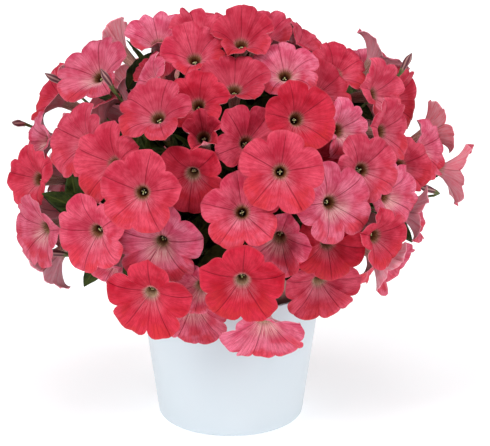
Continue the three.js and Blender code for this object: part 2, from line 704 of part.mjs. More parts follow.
// One trumpet: a thin limb with five lobes, its throat, its tube, the calyx and the stalk down to its end.
function bloomSolid(bloom, end, endR) {
  const points = [];
  const add = (r, degrees, z) => points.push(pointOf(bloom, r, rad(degrees), z)) - 1;
  const lobes = Array.from({ length: BLOOM.lobes }, (_, k) => {
    const vein = 90 + (360 / BLOOM.lobes) * k;
    const notch = vein - 180 / BLOOM.lobes;
    const limbAt = (share, degrees, under) => {
      const r = rimRadius(bloom, rad(degrees)) * share;
      return add(r, degrees, limbHeight(bloom, r, rad(degrees)) - under);
    };
    return {
      rim: [limbAt(1, notch, 0), limbAt(1, vein - BLOOM.shoulder, 0), limbAt(1, vein + BLOOM.shoulder, 0)],
      upper: [limbAt(BLOOM.midNotch, notch, 0), limbAt(BLOOM.midVein, vein, 0)],
      lower: [limbAt(BLOOM.midNotch, notch, BLOOM.thick), limbAt(BLOOM.midVein, vein, BLOOM.thick)],
      throat: add(BLOOM.throatR, notch, 0),
      neck: add(BLOOM.throatR + 0.9, notch, -BLOOM.thick),
      tubeEnd: add(BLOOM.tubeEndR, notch, -BLOOM.tube + 1),
      calyx: add(BLOOM.calyxR, notch, -BLOOM.tube - 0.28 * BLOOM.calyx),
    };
  });
  const pit = add(0, 0, -BLOOM.pit);
  const stalk = stalkRings(bloom, end, endR);
  const [high, low] = stalk.map((ring) => ring.map((p) => points.push(p) - 1));
  const faces = [];
  lobes.forEach((lobe, k) => {
    const next = lobes[(k + 1) % BLOOM.lobes];
    const [n, a, b] = lobe.rim;
    const n2 = next.rim[0];
    const ring = (m, m2) => [[m[0], n, a], [m[0], a, m[1]], [m[1], a, b], [m[1], b, m2[0]], [m2[0], b, n2]];
    const inner = (m, m2, t, t2) => [[t, m[0], m[1]], [t, m[1], t2], [t2, m[1], m2[0]]];
    const flip = ([p, q, r]) => [p, r, q];
    const wall = (top, top2, low, low2) => [[top, low, top2], [top2, low, low2]];
    faces.push(...ring(lobe.upper, next.upper), ...inner(lobe.upper, next.upper, lobe.throat, next.throat));
    faces.push([pit, lobe.throat, next.throat]);
    faces.push(...ring(lobe.lower, next.lower).map(flip));
    faces.push(...inner(lobe.lower, next.lower, lobe.neck, next.neck).map(flip));
    faces.push(...wall(lobe.neck, next.neck, lobe.tubeEnd, next.tubeEnd));
    faces.push(...wall(lobe.tubeEnd, next.tubeEnd, lobe.calyx, next.calyx));
  });
  const c = lobes.map((lobe) => lobe.calyx);
  faces.push([c[0], high[0], c[1]], [c[1], high[0], high[1]], [c[1], high[1], c[2]]);
  faces.push([c[2], high[1], c[3]], [c[3], high[1], high[2]], [c[3], high[2], c[4]]);
  faces.push([c[4], high[2], c[0]], [c[0], high[2], high[0]]);
  for (let j = 0; j < STALK.sides; j++) {
    const k = (j + 1) % STALK.sides;
    faces.push([high[j], low[j], high[k]], [high[k], low[j], low[k]]);
  }
  faces.push([low[0], low[2], low[1]]);
  return toSolid(points, faces);
}

// The two three-sided rings of a stalk: under the calyx, square to the bend, and at its end.
function stalkRings(bloom, end, endR) {
  const from = bloom.base;
  const way = end.clone().sub(from).normalize();
  const bend = way.clone().sub(bloom.face).normalize();
  const toNotch = rad(90 - 180 / BLOOM.lobes);
  const start = bloom.x.clone().multiplyScalar(Math.cos(toNotch));
  start.addScaledVector(bloom.y, Math.sin(toNotch));
  const ringAt = (centre, across, r) => {
    const u = start.clone().addScaledVector(across, -start.dot(across)).normalize();
    return ringRound(centre, u, u.clone().cross(across), r, STALK.sides);
  };
  return [ringAt(from, bend, BLOOM.stalkR), ringAt(end, way, endR)];
}

// Where a stalk that runs to the root stops short of the crown.
function stopAtCore(from, coreMesh) {
  const way = ROOT.clone().sub(from).normalize();
  const hit = new THREE.Raycaster(from, way).intersectObject(coreMesh)[0];
  const square = -hit.face.normal.dot(way);
  const slant = Math.sqrt(1 - square * square) / square;
  return hit.point.clone().addScaledVector(way, -(STALK.gap / square + BLOOM.stalkR * slant));
}

function spraySolid([main, partner], coreMesh) {
  const solid = bloomSolid(main, stopAtCore(main.base, coreMesh), BLOOM.stalkR);
  return partner ? solid.add(bloomSolid(partner, joinOf(main), STALK.tipR)) : solid;
}

function leafSolid(leaf) {
  const stations = [0.33, 0.68];
  const points = [leafPoint(leaf, 0, 0), leafPoint(leaf, 1, 0)];
  for (const share of stations) {
    const half = (leafOutline(share) * leaf.width) / 2;
    points.push(leafPoint(leaf, share, half), leafPoint(leaf, share, 0));
    points.push(leafPoint(leaf, share, 0, LEAF.thick), leafPoint(leaf, share, -half));
  }
  const blade = (m1, m2) => [
    [0, 5, m1], [0, m1, 2], [5, 9, m2], [5, m2, m1], [2, m1, m2], [2, m2, 6], [m2, 9, 1], [6, m2, 1],
  ];
  const upper = blade(3, 7);
  const lower = blade(4, 8).map(([a, b, c]) => [a, c, b]);
  const solid = toSolid(points, [...upper, ...lower]);
  if (!leaf.row.length) return solid;
  const end = leaf.at.clone().addScaledVector(leaf.along, 4);
  return solid.add(rod([leaf.foot, end], [LEAF.stemR, 1], STALK.sides));
}

function budSolid(bud) {
  const shares = [0, 0.55, 1];
  const radii = [BUD.tailR, BUD.r, BUD.tipR];
  const points = shares.map((share) => bud.tail.clone().lerp(bud.tip, share));
  const stem = rod([bud.foot, bud.bend, points[1]], [BUD.footR, BUD.stemR, BUD.stemR], STALK.sides);
  return rod(points, radii, BUD.sides).add(stem);
}

// The crown, a lumpy ball of stems too dense to see into.
function crownSolid() {
  const geometry = new THREE.SphereGeometry(1, CORE.sides, CORE.rings).rotateX(Math.PI / 2);
  const at = geometry.attributes.position;
  for (let i = 0; i < at.count; i++) {
    const p = new THREE.Vector3().fromBufferAttribute(at, i);
    const turn = Math.atan2(p.y, p.x);
    const flat = Math.hypot(p.x, p.y);
    const lump = 1 - CORE.lump * flat * (1 + Math.sin(3 * turn + 4 * p.z)) * 0.5;
    p.set(p.x * CORE.r * lump, p.y * CORE.r * lump, p.z * (p.z > 0 ? CORE.up : CORE.down));
    at.setXYZ(i, p.x + BUSH.x, p.y, p.z + CORE.z);
  }
  return solidOf(geometry);
}

function trunkSolid() {
  const low = SOIL.top - SOIL.holeDepth + GAP;
  const high = CORE.z - CORE.down + TRUNK.intoCrown;
  return turned([[0, low], [TRUNK.r, low], [TRUNK.r, high], [0, high]], TRUNK.sides);
}

// ---------------------------------------------------------------- pots and soil
function coverPot() {
  const { rimR, baseR, height, wall, floor, edgeR } = COVER;
  const slope = (rimR - baseR) / height;
  const outerAt = (z) => baseR + slope * z;
  const edge = [0, 30, 60, 90].map((a) => [
    outerAt(edgeR) - edgeR + edgeR * Math.sin(rad(a)), edgeR - edgeR * Math.cos(rad(a)),
  ]);
  return turned([
    [0, 0], ...edge, [outerAt(height - 1.2), height - 1.2], [rimR - 0.8, height],
    [rimR - wall + 0.5, height], [outerAt(height - 1.2) - wall, height - 1.2],
    [outerAt(floor + 2) - wall, floor + 2], [outerAt(floor) - wall - 2, floor], [0, floor],
  ], FACETS);
}

const GROWER_Z = COVER.floor + GAP;

// Outer radius of the grower's pot, without its collar.
function growerR(z) {
  const { rimR, baseR, height, collarOut } = GROWER;
  return baseR + ((rimR - collarOut - baseR) * (z - GROWER_Z)) / height;
}

function growerPot() {
  const { rimR, height, wall, floor, collar, collarOut } = GROWER;
  const top = GROWER_Z + height;
  const low = top - collar;
  let pot = turned([
    [0, GROWER_Z], [growerR(GROWER_Z), GROWER_Z], [growerR(low), low], [growerR(low) + collarOut, low + 1],
    [rimR, top - 0.6], [rimR - 0.6, top], [growerR(top) - wall, top],
    [growerR(GROWER_Z + floor) - wall, GROWER_Z + floor], [0, GROWER_Z + floor],
  ], FACETS);
  for (let i = 0; i < DRAIN.holes; i++) {
    const a = (2 * Math.PI * (i + 0.5)) / DRAIN.holes;
    const plug = new THREE.CylinderGeometry(DRAIN.r, DRAIN.r, 3 * floor, DRAIN.sides).rotateX(Math.PI / 2);
    plug.translate(DRAIN.out * Math.cos(a), DRAIN.out * Math.sin(a), GROWER_Z + floor / 2);
    pot = pot.subtract(solidOf(plug));
  }
  return pot;
}

function soilBody() {
  const bottom = GROWER_Z + GROWER.floor + GAP;
  const inside = (z) => growerR(z) - GROWER.wall - GAP;
  const edge = SOIL.top - SOIL.dish;
  return turned([
    [0, bottom], [inside(bottom), bottom], [inside(edge), edge], [inside(edge) * 0.5, SOIL.top],
    [SOIL.holeR, SOIL.top], [SOIL.holeR, SOIL.top - SOIL.holeDepth], [0, SOIL.top - SOIL.holeDepth],
  ], FACETS);
}

// ---------------------------------------------------------------- the whole plant
function meshOf(name, solid, look) {
  const made = solid.getMesh();
  const geometry = new THREE.BufferGeometry();
  geometry.setAttribute('position', new THREE.BufferAttribute(made.vertProperties, 3));
  geometry.setIndex(new THREE.BufferAttribute(made.triVerts, 1));
  const [color, roughness] = COLOURS[look];
  const mesh = new THREE.Mesh(geometry, new THREE.MeshStandardMaterial({ color, roughness, metalness: 0 }));
  mesh.name = name;
  return mesh;
}

function buildPlant() {
  const draw = drawsFrom(11);
  const blooms = [];
  placeSeenBlooms(blooms, draw);
  placeHiddenBlooms(blooms, draw);
  const pairs = pairUp(blooms);
  const leaves = placeSeenLeaves(blooms);
  placeInnerLeaves(blooms, leaves, draw);
  const buds = placeBuds(blooms);
  const crown = crownSolid();
  const coreMesh = meshOf('crown', crown, 'foliage');
  const green = [trunkSolid(), ...leaves.map(leafSolid), ...buds.map(budSolid)];
  const plant = new THREE.Group();
  plant.add(meshOf('cover_pot', coverPot(), 'cover_pot'));
  plant.add(meshOf('grower_pot', growerPot(), 'grower_pot'));
  plant.add(meshOf('soil', soilBody(), 'soil'));
  plant.add(meshOf('foliage', green.reduce((whole, piece) => whole.add(piece), crown), 'foliage'));
  pairs.forEach((pair, i) => {
    const name = `spray_${String(i + 1).padStart(2, '0')}`;
    plant.add(meshOf(name, spraySolid(pair, coreMesh), i % 2 ? 'pink' : 'coral'));
  });
  return plant;
}

export default buildPlant();
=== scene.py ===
"""A petunia in bloom in its pots, dressed over the frame of its solids. Blender 4.5.

The frame holds the pots, the soil, the green parts and the flowers in sprays of one or two. Each flower,
leaf and bud is measured on its solid, and a finer one is built in its place. Sizes are in millimetres
unless named otherwise.
"""

import math
import random

import bmesh
import bpy
import numpy as np
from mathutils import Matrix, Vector


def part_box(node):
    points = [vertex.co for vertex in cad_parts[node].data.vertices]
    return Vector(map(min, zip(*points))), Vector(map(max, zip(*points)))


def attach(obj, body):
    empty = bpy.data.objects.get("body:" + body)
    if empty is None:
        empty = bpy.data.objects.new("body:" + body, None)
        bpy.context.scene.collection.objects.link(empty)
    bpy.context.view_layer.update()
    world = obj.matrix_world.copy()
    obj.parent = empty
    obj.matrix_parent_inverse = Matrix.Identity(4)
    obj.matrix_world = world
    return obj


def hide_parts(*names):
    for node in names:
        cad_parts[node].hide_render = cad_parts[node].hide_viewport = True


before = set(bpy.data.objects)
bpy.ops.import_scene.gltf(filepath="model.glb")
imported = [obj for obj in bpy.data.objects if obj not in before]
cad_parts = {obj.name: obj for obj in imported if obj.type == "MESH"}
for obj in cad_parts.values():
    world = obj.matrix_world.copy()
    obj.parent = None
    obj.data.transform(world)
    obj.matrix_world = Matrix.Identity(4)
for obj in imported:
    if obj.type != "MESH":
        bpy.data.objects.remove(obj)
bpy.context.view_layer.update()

MM = 0.001
SEED = 5
UP = np.array((0.0, 0.0, 1.0))

# ------------------------------------------------------------------ driving dimensions, as on the solids
LOBES = 5
PETAL = {
    "throat_r": 4.6, "limb": 11.0, "curve": 1.9, "lobe_rise": 0.9, "mid_notch": 0.13,
    "pit": 9.0, "tube": 26.0, "calyx": 9.0,
}
STALK_R = 1.2
FORK = 0.2  # where one stalk of a pair joins the other, as a share of the other's way to the root
ROOT = np.array((-4.0, 0.0, 160.0))
CROWN = {"at": (-4.0, 0.0, 172.0), "r": 64.0, "up": 60.0, "down": 48.0}
LEAF = {"thick": 1.5, "fold": 0.22, "droop": 0.16, "station": 0.68, "length": (20.0, 80.0)}
BUD = {"sides": 5, "tip_r": 0.5, "belly": (7.9, 8.3)}
WELD = 0.01  # points of a solid that lie closer are one
# How far a measure on the solids may lie from these dimensions.
FIT = {"throat": 0.05, "thick": 0.02, "sag": 0.1, "tip": 0.02}

# ------------------------------------------------------------------ dimensions of what is added
BEND_DEPTH = 5.0  # a flower's tube bends over this depth of its throat
FINE_BUD = {"length": 17.0, "sides": 20, "twist": 4.0, "furl": 0.10, "neck": 5.0, "nod": 0.04}
FINE_BUD_RADII = [1.5, 1.75, 1.95, 2.15, 2.35, 2.55, 2.65, 2.6, 2.3, 1.75, 1.05, 0.35]
# Waves along a leaf's edge, and the folds between its side veins, which slant towards its tip.
EDGE_WAVES = {"often": 17.0, "size": 0.12}
SIDE_FOLDS = {"often": 24.0, "size": 0.35, "slant": 0.3}
BLADE_THICK = 0.5
LITTLE = {"to_a_stalk": 9, "tries": 16, "length": (20.0, 40.0), "slim": (0.38, 0.5), "down_stalk": 0.45}
# How much a small leaf leans outwards, up and to its sides, and the least that it may point outwards.
LEAN = {"out": 0.9, "up": 0.2, "sides": 0.6, "least": -0.3}
# Small leaves keep out of a flower's space: its half width this many times, and this far below and before it.
CLEAR = {"round": 1.1, "below": 2.5, "before": 45.0}
CROWN_LUMPS = {"count": 7, "inset": 0.91, "size": 0.022}
SOIL_LUMPS = {"count": 14, "size": 0.22, "below_top": 0.8, "fall": 2.5}

# ------------------------------------------------------------------ view, light and tones
# The camera stands where the photograph's did.
VIEW = {"lift": 16.0, "distance": 1592.0, "aim": (11.3, 0.0, 157.0), "lens": 150.0, "sensor": 36.0}
PHOTO = (490, 446)
LIFT = math.radians(VIEW["lift"])
BACK = np.array((0, -math.cos(LIFT), math.sin(LIFT)))

# Bearing, 0 at the front and positive to the right, height, strength and width of each light.
SUNS = {"left": (-50, 38, 1.70, 30), "right": (58, 34, 1.42, 42), "top": (10, 76, 0.70, 35)}
SKY = {"colour": (0.93, 0.96, 1, 1), "strength": 0.29}
FLOOR = {"half_in_metres": 15, "glow": 0.38}

# Throats of the pinker flowers, in the photograph's pixels.
PINK = [
    (117, 44), (153, 80), (168, 62), (92, 116), (44, 138), (43, 225), (155, 242), (286, 72), (331, 202),
    (388, 195), (412, 149), (391, 84), (340, 128), (368, 66), (281, 238), (190, 306), (265, 322), (200, 288),
    (269, 47), (221, 36), (100, 77), (49, 257), (112, 264), (380, 257), (404, 206), (434, 130), (156, 41),
    (453, 168),
]
# Throats of the deepest red ones.
DEEP = [
    (189, 168), (149, 294), (242, 281), (297, 117), (197, 103), (237, 78), (325, 300), (388, 90), (190, 45),
    (85, 230), (328, 243), (468, 165), (30, 172), (149, 117),
]
NAMED_WITHIN = 9.0
# Shares of pink and deep flowers among those that the photograph doesn't show, and how pink each kind is.
PINK_SHARE = 0.35
DEEP_SHARE = 0.4
PINKNESS = {"pink": (0.7, 1.0), "deep": (0.0, 0.12), "coral": (0.16, 0.44)}
# A throat is brown in a flower that looks level or up, and cream where its axis falls by this share or more:
# the cream is painted light, for light that falls into a throat that faces down.
LIT_THROAT_FALL = 0.22


def unit(v):
    return v / np.linalg.norm(v)


def pick(rng, low, high, count=LOBES):
    """Draws from a range, one for each lobe unless a count is given."""
    return np.array([rng.uniform(low, high) for _ in range(count)])


def add_object(name, data):
    thing = bpy.data.objects.new(name, data)
    bpy.context.scene.collection.objects.link(thing)
    return thing


# ------------------------------------------------------------------ camera and light
def look_from():
    data = bpy.data.cameras.new("camera")
    data.lens, data.sensor_width = VIEW["lens"], VIEW["sensor"]
    data.clip_start, data.clip_end = 0.05, 60
    camera = add_object("camera", data)
    camera.location = (Vector(VIEW["aim"]) + Vector(BACK) * VIEW["distance"]) * MM
    camera.rotation_mode = "QUATERNION"
    camera.rotation_quaternion = Vector(-BACK).to_track_quat("-Z", "Y")
    bpy.context.scene.camera = camera


def pixel_of(point):
    """Where the photograph shows a point."""
    up = np.array((0, math.sin(LIFT), math.cos(LIFT)))
    d = point - np.array(VIEW["aim"])
    scale = VIEW["lens"] / VIEW["sensor"] * PHOTO[0] / (VIEW["distance"] - d @ BACK)
    return PHOTO[0] / 2 + d[0] * scale, PHOTO[1] / 2 - d @ up * scale


def soft_sun(name, bearing, height, strength, wide):
    """Light from a bearing and a height, as soft as a source that is wide degrees across."""
    data = bpy.data.lights.new(name, "SUN")
    data.energy, data.angle = strength, math.radians(wide)
    lamp = add_object(name, data)
    b, h = math.radians(bearing), math.radians(height)
    way = Vector((math.sin(b) * math.cos(h), -math.cos(b) * math.cos(h), math.sin(h)))
    lamp.location = way * 3
    lamp.rotation_mode = "QUATERNION"
    lamp.rotation_quaternion = way.to_track_quat("Z", "Y")


def studio():
    scene = bpy.context.scene
    scene.view_settings.view_transform = "Standard"
    world = bpy.data.worlds.new("studio")
    world.use_nodes = True
    sky = world.node_tree.nodes["Background"]
    sky.inputs["Color"].default_value = SKY["colour"]
    sky.inputs["Strength"].default_value = SKY["strength"]
    scene.world = world
    for name, setting in SUNS.items():
        soft_sun(name, *setting)


# ------------------------------------------------------------------ materials
class Shader:
    """A Principled material and the nodes that feed it."""

    def __init__(self, name, **plain):
        self.material = bpy.data.materials.new(name)
        self.material.use_nodes = True
        self.nodes = self.material.node_tree.nodes
        self.links = self.material.node_tree.links
        self.principled = self.nodes["Principled BSDF"]
        for key, value in plain.items():
            self.principled.inputs[key.replace("_", " ")].default_value = value

    def feed(self, socket, value):
        if isinstance(value, bpy.types.NodeSocket):
            self.links.new(value, socket)
        else:
            socket.default_value = value

    def add(self, kind, *values, **settings):
        """A node with its settings and its sockets fed in order. Returns its first output."""
        node = self.nodes.new(kind)
        for key, value in settings.items():
            if key in node.inputs:
                self.feed(node.inputs[key], value)
            else:
                setattr(node, key, value)
        for socket, value in zip(node.inputs, values):
            self.feed(socket, value)
        return node.outputs[0]

    def math(self, operation, *values):
        return self.add("ShaderNodeMath", *values, operation=operation)

    def span(self, value, low, high, to_low=0.0, to_high=1.0):
        """Value taken smoothly from one range to another."""
        ends = (low, high, to_low, to_high)
        return self.add("ShaderNodeMapRange", value, *ends, interpolation_type="SMOOTHSTEP")

    def mix(self, share, a, b, blend="MIX"):
        node = self.nodes.new("ShaderNodeMix")
        node.data_type, node.blend_type = "RGBA", blend
        self.feed(node.inputs[0], share)
        self.feed(node.inputs[6], a)
        self.feed(node.inputs[7], b)
        return node.outputs[2]

    def ramp(self, value, *stops):
        """Colours at places along a value."""
        node = self.nodes.new("ShaderNodeValToRGB")
        self.feed(node.inputs[0], value)
        marks = node.color_ramp.elements
        while len(marks) < len(stops):
            marks.new(0.5)
        for mark, (place, colour) in zip(marks, stops):
            mark.position, mark.color = place, (*colour, 1)
        return node.outputs[0]

    def noise(self, vector, scale, detail=3.0, roughness=0.55, distortion=0.0):
        settings = {"Scale": scale, "Detail": detail, "Roughness": roughness, "Distortion": distortion}
        return self.add("ShaderNodeTexNoise", Vector=vector, **settings)

    def parts(self, vector):
        node = self.nodes.new("ShaderNodeSeparateXYZ")
        self.feed(node.inputs[0], vector)
        return node.outputs

    def joined(self, x, y, z):
        return self.add("ShaderNodeCombineXYZ", x, y, z)

    def attribute(self, name):
        node = self.nodes.new("ShaderNodeAttribute")
        node.attribute_name = name
        return self.parts(node.outputs["Vector"])

    def place(self):
        return self.nodes.new("ShaderNodeTexCoord").outputs["Object"]

    def finish(self, colour, roughness=None, height=None, depth=0.0002, strength=1.0):
        self.feed(self.principled.inputs["Base Color"], colour)
        if roughness is not None:
            self.feed(self.principled.inputs["Roughness"], roughness)
        if height is not None:
            bump = self.add("ShaderNodeBump", Strength=strength, Distance=depth, Height=height)
            self.feed(self.principled.inputs["Normal"], bump)
        return self.material


def main_veins(s, across, along, width, edge, fade):
    """1 along the middle of each lobe and 0 off it, from a vein's width, its soft edge and where it fades."""
    angle = s.math("SUBTRACT", s.math("ARCTAN2", along, across), math.pi / 2)
    off = s.math("ABSOLUTE", s.math("SINE", s.math("MULTIPLY", angle, LOBES / 2)))
    return s.math("MULTIPLY", s.span(s.math("DIVIDE", off, width), *edge), fade)


def petal_face():
    s = Shader("petal_face", Roughness=0.5, Specular_IOR_Level=0.08, Sheen_Weight=0.02, Sheen_Roughness=0.35)
    across, along, reach = s.attribute("limb")
    pink, light, seed = s.attribute("tone")
    # The throat attribute carries painted light: how much lighter a throat is painted where its flower faces
    # down.
    throat_lit = s.attribute("throat")[0]
    own = s.joined(seed, seed, seed)

    def drawn_out(wide, far):
        """The place on the petal, scaled round the throat and out from it, and moved by its own number."""
        at = s.joined(*(s.math("MULTIPLY", v, k) for v, k in ((across, wide), (along, wide), (reach, far))))
        return s.add("ShaderNodeVectorMath", at, own, operation="ADD")

    streaks = s.noise(drawn_out(9, 1.3), 2.2, 4, 0.7)
    fine = s.noise(drawn_out(26, 7), 1.4, 3, 0.6, 0.6)
    patch_at = s.joined(s.math("MULTIPLY", across, reach), s.math("MULTIPLY", along, reach), seed)
    patches = s.noise(patch_at, 2.4, 2)

    # Coral or rose in soft patches, warmer on the lower lobes, with dark streaks and a fine net.
    coral = s.mix(s.span(patches, 0.32, 0.68), (0.49, 0.003, 0.019, 1), (0.71, 0.026, 0.062, 1))
    rose = s.mix(s.span(patches, 0.32, 0.68), (0.69, 0.082, 0.175, 1), (0.89, 0.240, 0.370, 1))
    base = s.mix(pink, coral, rose)
    warm = s.math("MULTIPLY", s.span(along, 0.4, -0.9), s.span(reach, 0.25, 0.75))
    warm = s.math("MULTIPLY", warm, s.span(patches, 0.60, 0.38, 0.15, 0.6))
    base = s.mix(warm, base, (0.76, 0.050, 0.058, 1))
    base = s.mix(s.span(streaks, 0.60, 0.36, 0, 0.42), base, (0.33, 0.005, 0.020, 1))
    net = s.span(s.math("ABSOLUTE", s.math("SUBTRACT", fine, 0.5)), 0.03, 0.0, 0, 0.30)
    base = s.mix(net, base, (0.26, 0.004, 0.016, 1))

    # The pale wedge that spreads from the throat, strongest on the lower lobes, and the pale rim.
    low = s.span(along, 0.15, -0.90, 0.16, 1.0)
    wedge = s.math("MULTIPLY", s.span(reach, 0.52, 0.05), s.span(streaks, 0.36, 0.60))
    halo = s.math("MULTIPLY", s.span(reach, 0.22, 0.03, 0, 0.6), s.span(streaks, 0.42, 0.64))
    wedge = s.math("MAXIMUM", s.math("MULTIPLY", wedge, low), halo)
    strength = s.span(pink, 0.05, 0.9, 0.40, 1.0)
    pale = s.mix(s.span(pink, 0.45, 0.75), (0.84, 0.34, 0.42, 1), (0.91, 0.58, 0.54, 1))
    base = s.mix(s.math("MULTIPLY", wedge, strength), base, pale)
    base = s.mix(s.span(reach, 0.92, 1.0, 0, 0.14), base, (0.78, 0.15, 0.19, 1))

    width = s.span(reach, 0.1, 1.0, 0.075, 0.011)
    vein = main_veins(s, across, along, width, (1.6, 0.5), s.span(reach, 1.02, 0.80))
    base = s.mix(s.math("MULTIPLY", vein, 0.65), base, (0.20, 0.004, 0.014, 1))

    # The throat with dark stripes, from the pit at 0 to its edge at 1: brown where the flower looks level or
    # up, and cream, as painted light, where it faces down.
    down = s.math("ADD", reach, 1)
    # Both ramps darken towards the pit, to near black in the brown one: the throat's own brown, deepened as
    # painted shade deep inside the tube.
    brown = s.ramp(
        down, (0.0, (0.028, 0.006, 0.002)), (0.46, (0.070, 0.014, 0.004)), (0.64, (0.18, 0.052, 0.020)),
        (0.82, (0.32, 0.14, 0.06)), (0.95, (0.48, 0.23, 0.14)), (1.0, (0.56, 0.23, 0.19)),
    )
    cream = s.ramp(
        down, (0.0, (0.10, 0.04, 0.015)), (0.5, (0.26, 0.13, 0.06)), (0.8, (0.62, 0.42, 0.25)),
        (0.95, (0.80, 0.55, 0.40)), (1.0, (0.80, 0.40, 0.36)),
    )
    stripes = s.math("MULTIPLY", s.span(streaks, 0.58, 0.42, 0, 0.8), s.span(throat_lit, 0, 1, 1.0, 0.75))
    throat = s.mix(stripes, s.mix(throat_lit, brown, cream), (0.09, 0.020, 0.010, 1))
    colour = s.mix(s.span(reach, -0.02, 0.12), throat, base)
    colour = s.mix(1.0, colour, s.joined(light, light, light), "MULTIPLY")

    bumps = s.math("ADD", s.math("MULTIPLY", streaks, 0.8), s.math("MULTIPLY", vein, -0.5))
    bumps = s.math("ADD", bumps, s.math("MULTIPLY", fine, 0.35))
    return s.finish(colour, height=bumps, depth=0.0006, strength=0.6)


def petal_back():
    s = Shader("petal_back", Roughness=0.55, Specular_IOR_Level=0.15, Sheen_Weight=0.12, Sheen_Roughness=0.4)
    across, along, reach = s.attribute("limb")
    pink, light, seed = s.attribute("tone")
    at = s.joined(s.math("MULTIPLY", across, 8), s.math("MULTIPLY", along, 8), s.math("ADD", reach, seed))
    streaks = s.noise(at, 2.5, 4, 0.7)
    # The backs are paler pink than the faces, and lighter still as painted light, standing in for light that
    # shines through the thin petals.
    coral = s.mix(s.span(streaks, 0.36, 0.66), (0.94, 0.19, 0.25, 1), (0.99, 0.42, 0.48, 1))
    rose = s.mix(s.span(streaks, 0.36, 0.66), (0.96, 0.29, 0.39, 1), (0.99, 0.55, 0.63, 1))
    base = s.mix(pink, coral, rose)
    width = s.span(reach, -0.2, 1.0, 0.14, 0.03)
    vein = main_veins(s, across, along, width, (1.5, 0.4), s.span(reach, 1.0, 0.75))
    base = s.mix(s.math("MULTIPLY", vein, 0.6), base, (0.46, 0.13, 0.15, 1))
    tube = s.mix(s.span(streaks, 0.42, 0.62), (0.34, 0.11, 0.09, 1), (0.74, 0.46, 0.38, 1))
    base = s.mix(s.span(reach, 0.12, -0.15), base, tube)
    colour = s.mix(1.0, base, s.joined(light, light, light), "MULTIPLY")
    return s.finish(colour, height=streaks, depth=0.0004, strength=0.5)


def leaf_green(name, dark, light):
    s = Shader(name, Roughness=0.55, Specular_IOR_Level=0.16)
    share, side, _ = s.attribute("blade")
    slant = s.math("ADD", share, s.math("MULTIPLY", s.math("ABSOLUTE", side), -0.35))
    ribs = s.math("ABSOLUTE", s.math("SINE", s.math("MULTIPLY", slant, 26)))
    rib = s.math("MAXIMUM", s.span(ribs, 0.22, 0.05, 0, 0.7), s.span(s.math("ABSOLUTE", side), 0.12, 0.03))
    mottle = s.noise(s.place(), 160, 3)
    green = s.mix(s.span(mottle, 0.35, 0.65), (*dark, 1), (*light, 1))
    green = s.mix(s.math("MULTIPLY", rib, 0.55), green, (light[0] * 2.2, light[1] * 1.8, light[2] * 1.9, 1))
    height = s.math("ADD", s.math("MULTIPLY", mottle, 0.4), s.math("MULTIPLY", rib, -0.6))
    return s.finish(green, height=height, depth=0.0006, strength=0.7)


def stem_green():
    s = Shader("stem_green", Roughness=0.55, Specular_IOR_Level=0.3)
    at = s.place()
    mottle = s.noise(at, 240, 3)
    colour = s.mix(s.span(mottle, 0.35, 0.65), (0.060, 0.085, 0.024, 1), (0.145, 0.175, 0.055, 1))
    return s.finish(colour, height=s.noise(at, 900, 2), depth=0.0003, strength=0.5)


def bud_skin():
    s = Shader("bud_skin", Roughness=0.5, Specular_IOR_Level=0.3)
    turn, share, _ = s.attribute("blade")
    around = s.math("MULTIPLY", turn, LOBES * 2 * math.pi)
    stripes = s.math("SINE", s.math("ADD", around, s.math("MULTIPLY", share, FINE_BUD["twist"])))
    colour = s.mix(s.span(stripes, -0.2, 0.8), (0.12, 0.030, 0.045, 1), (0.42, 0.22, 0.20, 1))
    colour = s.mix(s.span(share, 0.25, 0.0), colour, (0.12, 0.15, 0.05, 1))
    return s.finish(colour, height=stripes, depth=0.0004, strength=0.6)


def speckled(name, dark, light, scale, roughness, depth):
    s = Shader(name, Roughness=roughness, Specular_IOR_Level=0.35)
    grain = s.noise(s.place(), scale, 4)
    colour = s.mix(s.span(grain, 0.3, 0.7), (*dark, 1), (*light, 1))
    return s.finish(colour, height=grain, depth=depth, strength=0.6)


def glazed_white():
    s = Shader("glazed_white", Roughness=0.34, Specular_IOR_Level=0.45)
    at = s.place()
    cloud = s.noise(at, 14, 2)
    colour = s.mix(s.span(cloud, 0.3, 0.7), (0.606, 0.677, 0.723, 1), (0.632, 0.698, 0.741, 1))
    # Painted shade: the glaze darkens over the pot's lowest 20 mm, most at the floor, for the shade where the
    # pot meets the floor.
    low = s.span(s.parts(at)[2], 0.0, 0.02, 0.25, 0)
    colour = s.mix(low, colour, (0.55, 0.63, 0.69, 1))
    roughness = s.span(s.noise(at, 45, 3), 0.3, 0.7, 0.30, 0.42)
    return s.finish(colour, roughness, height=s.noise(at, 210, 2), depth=0.00012, strength=0.35)


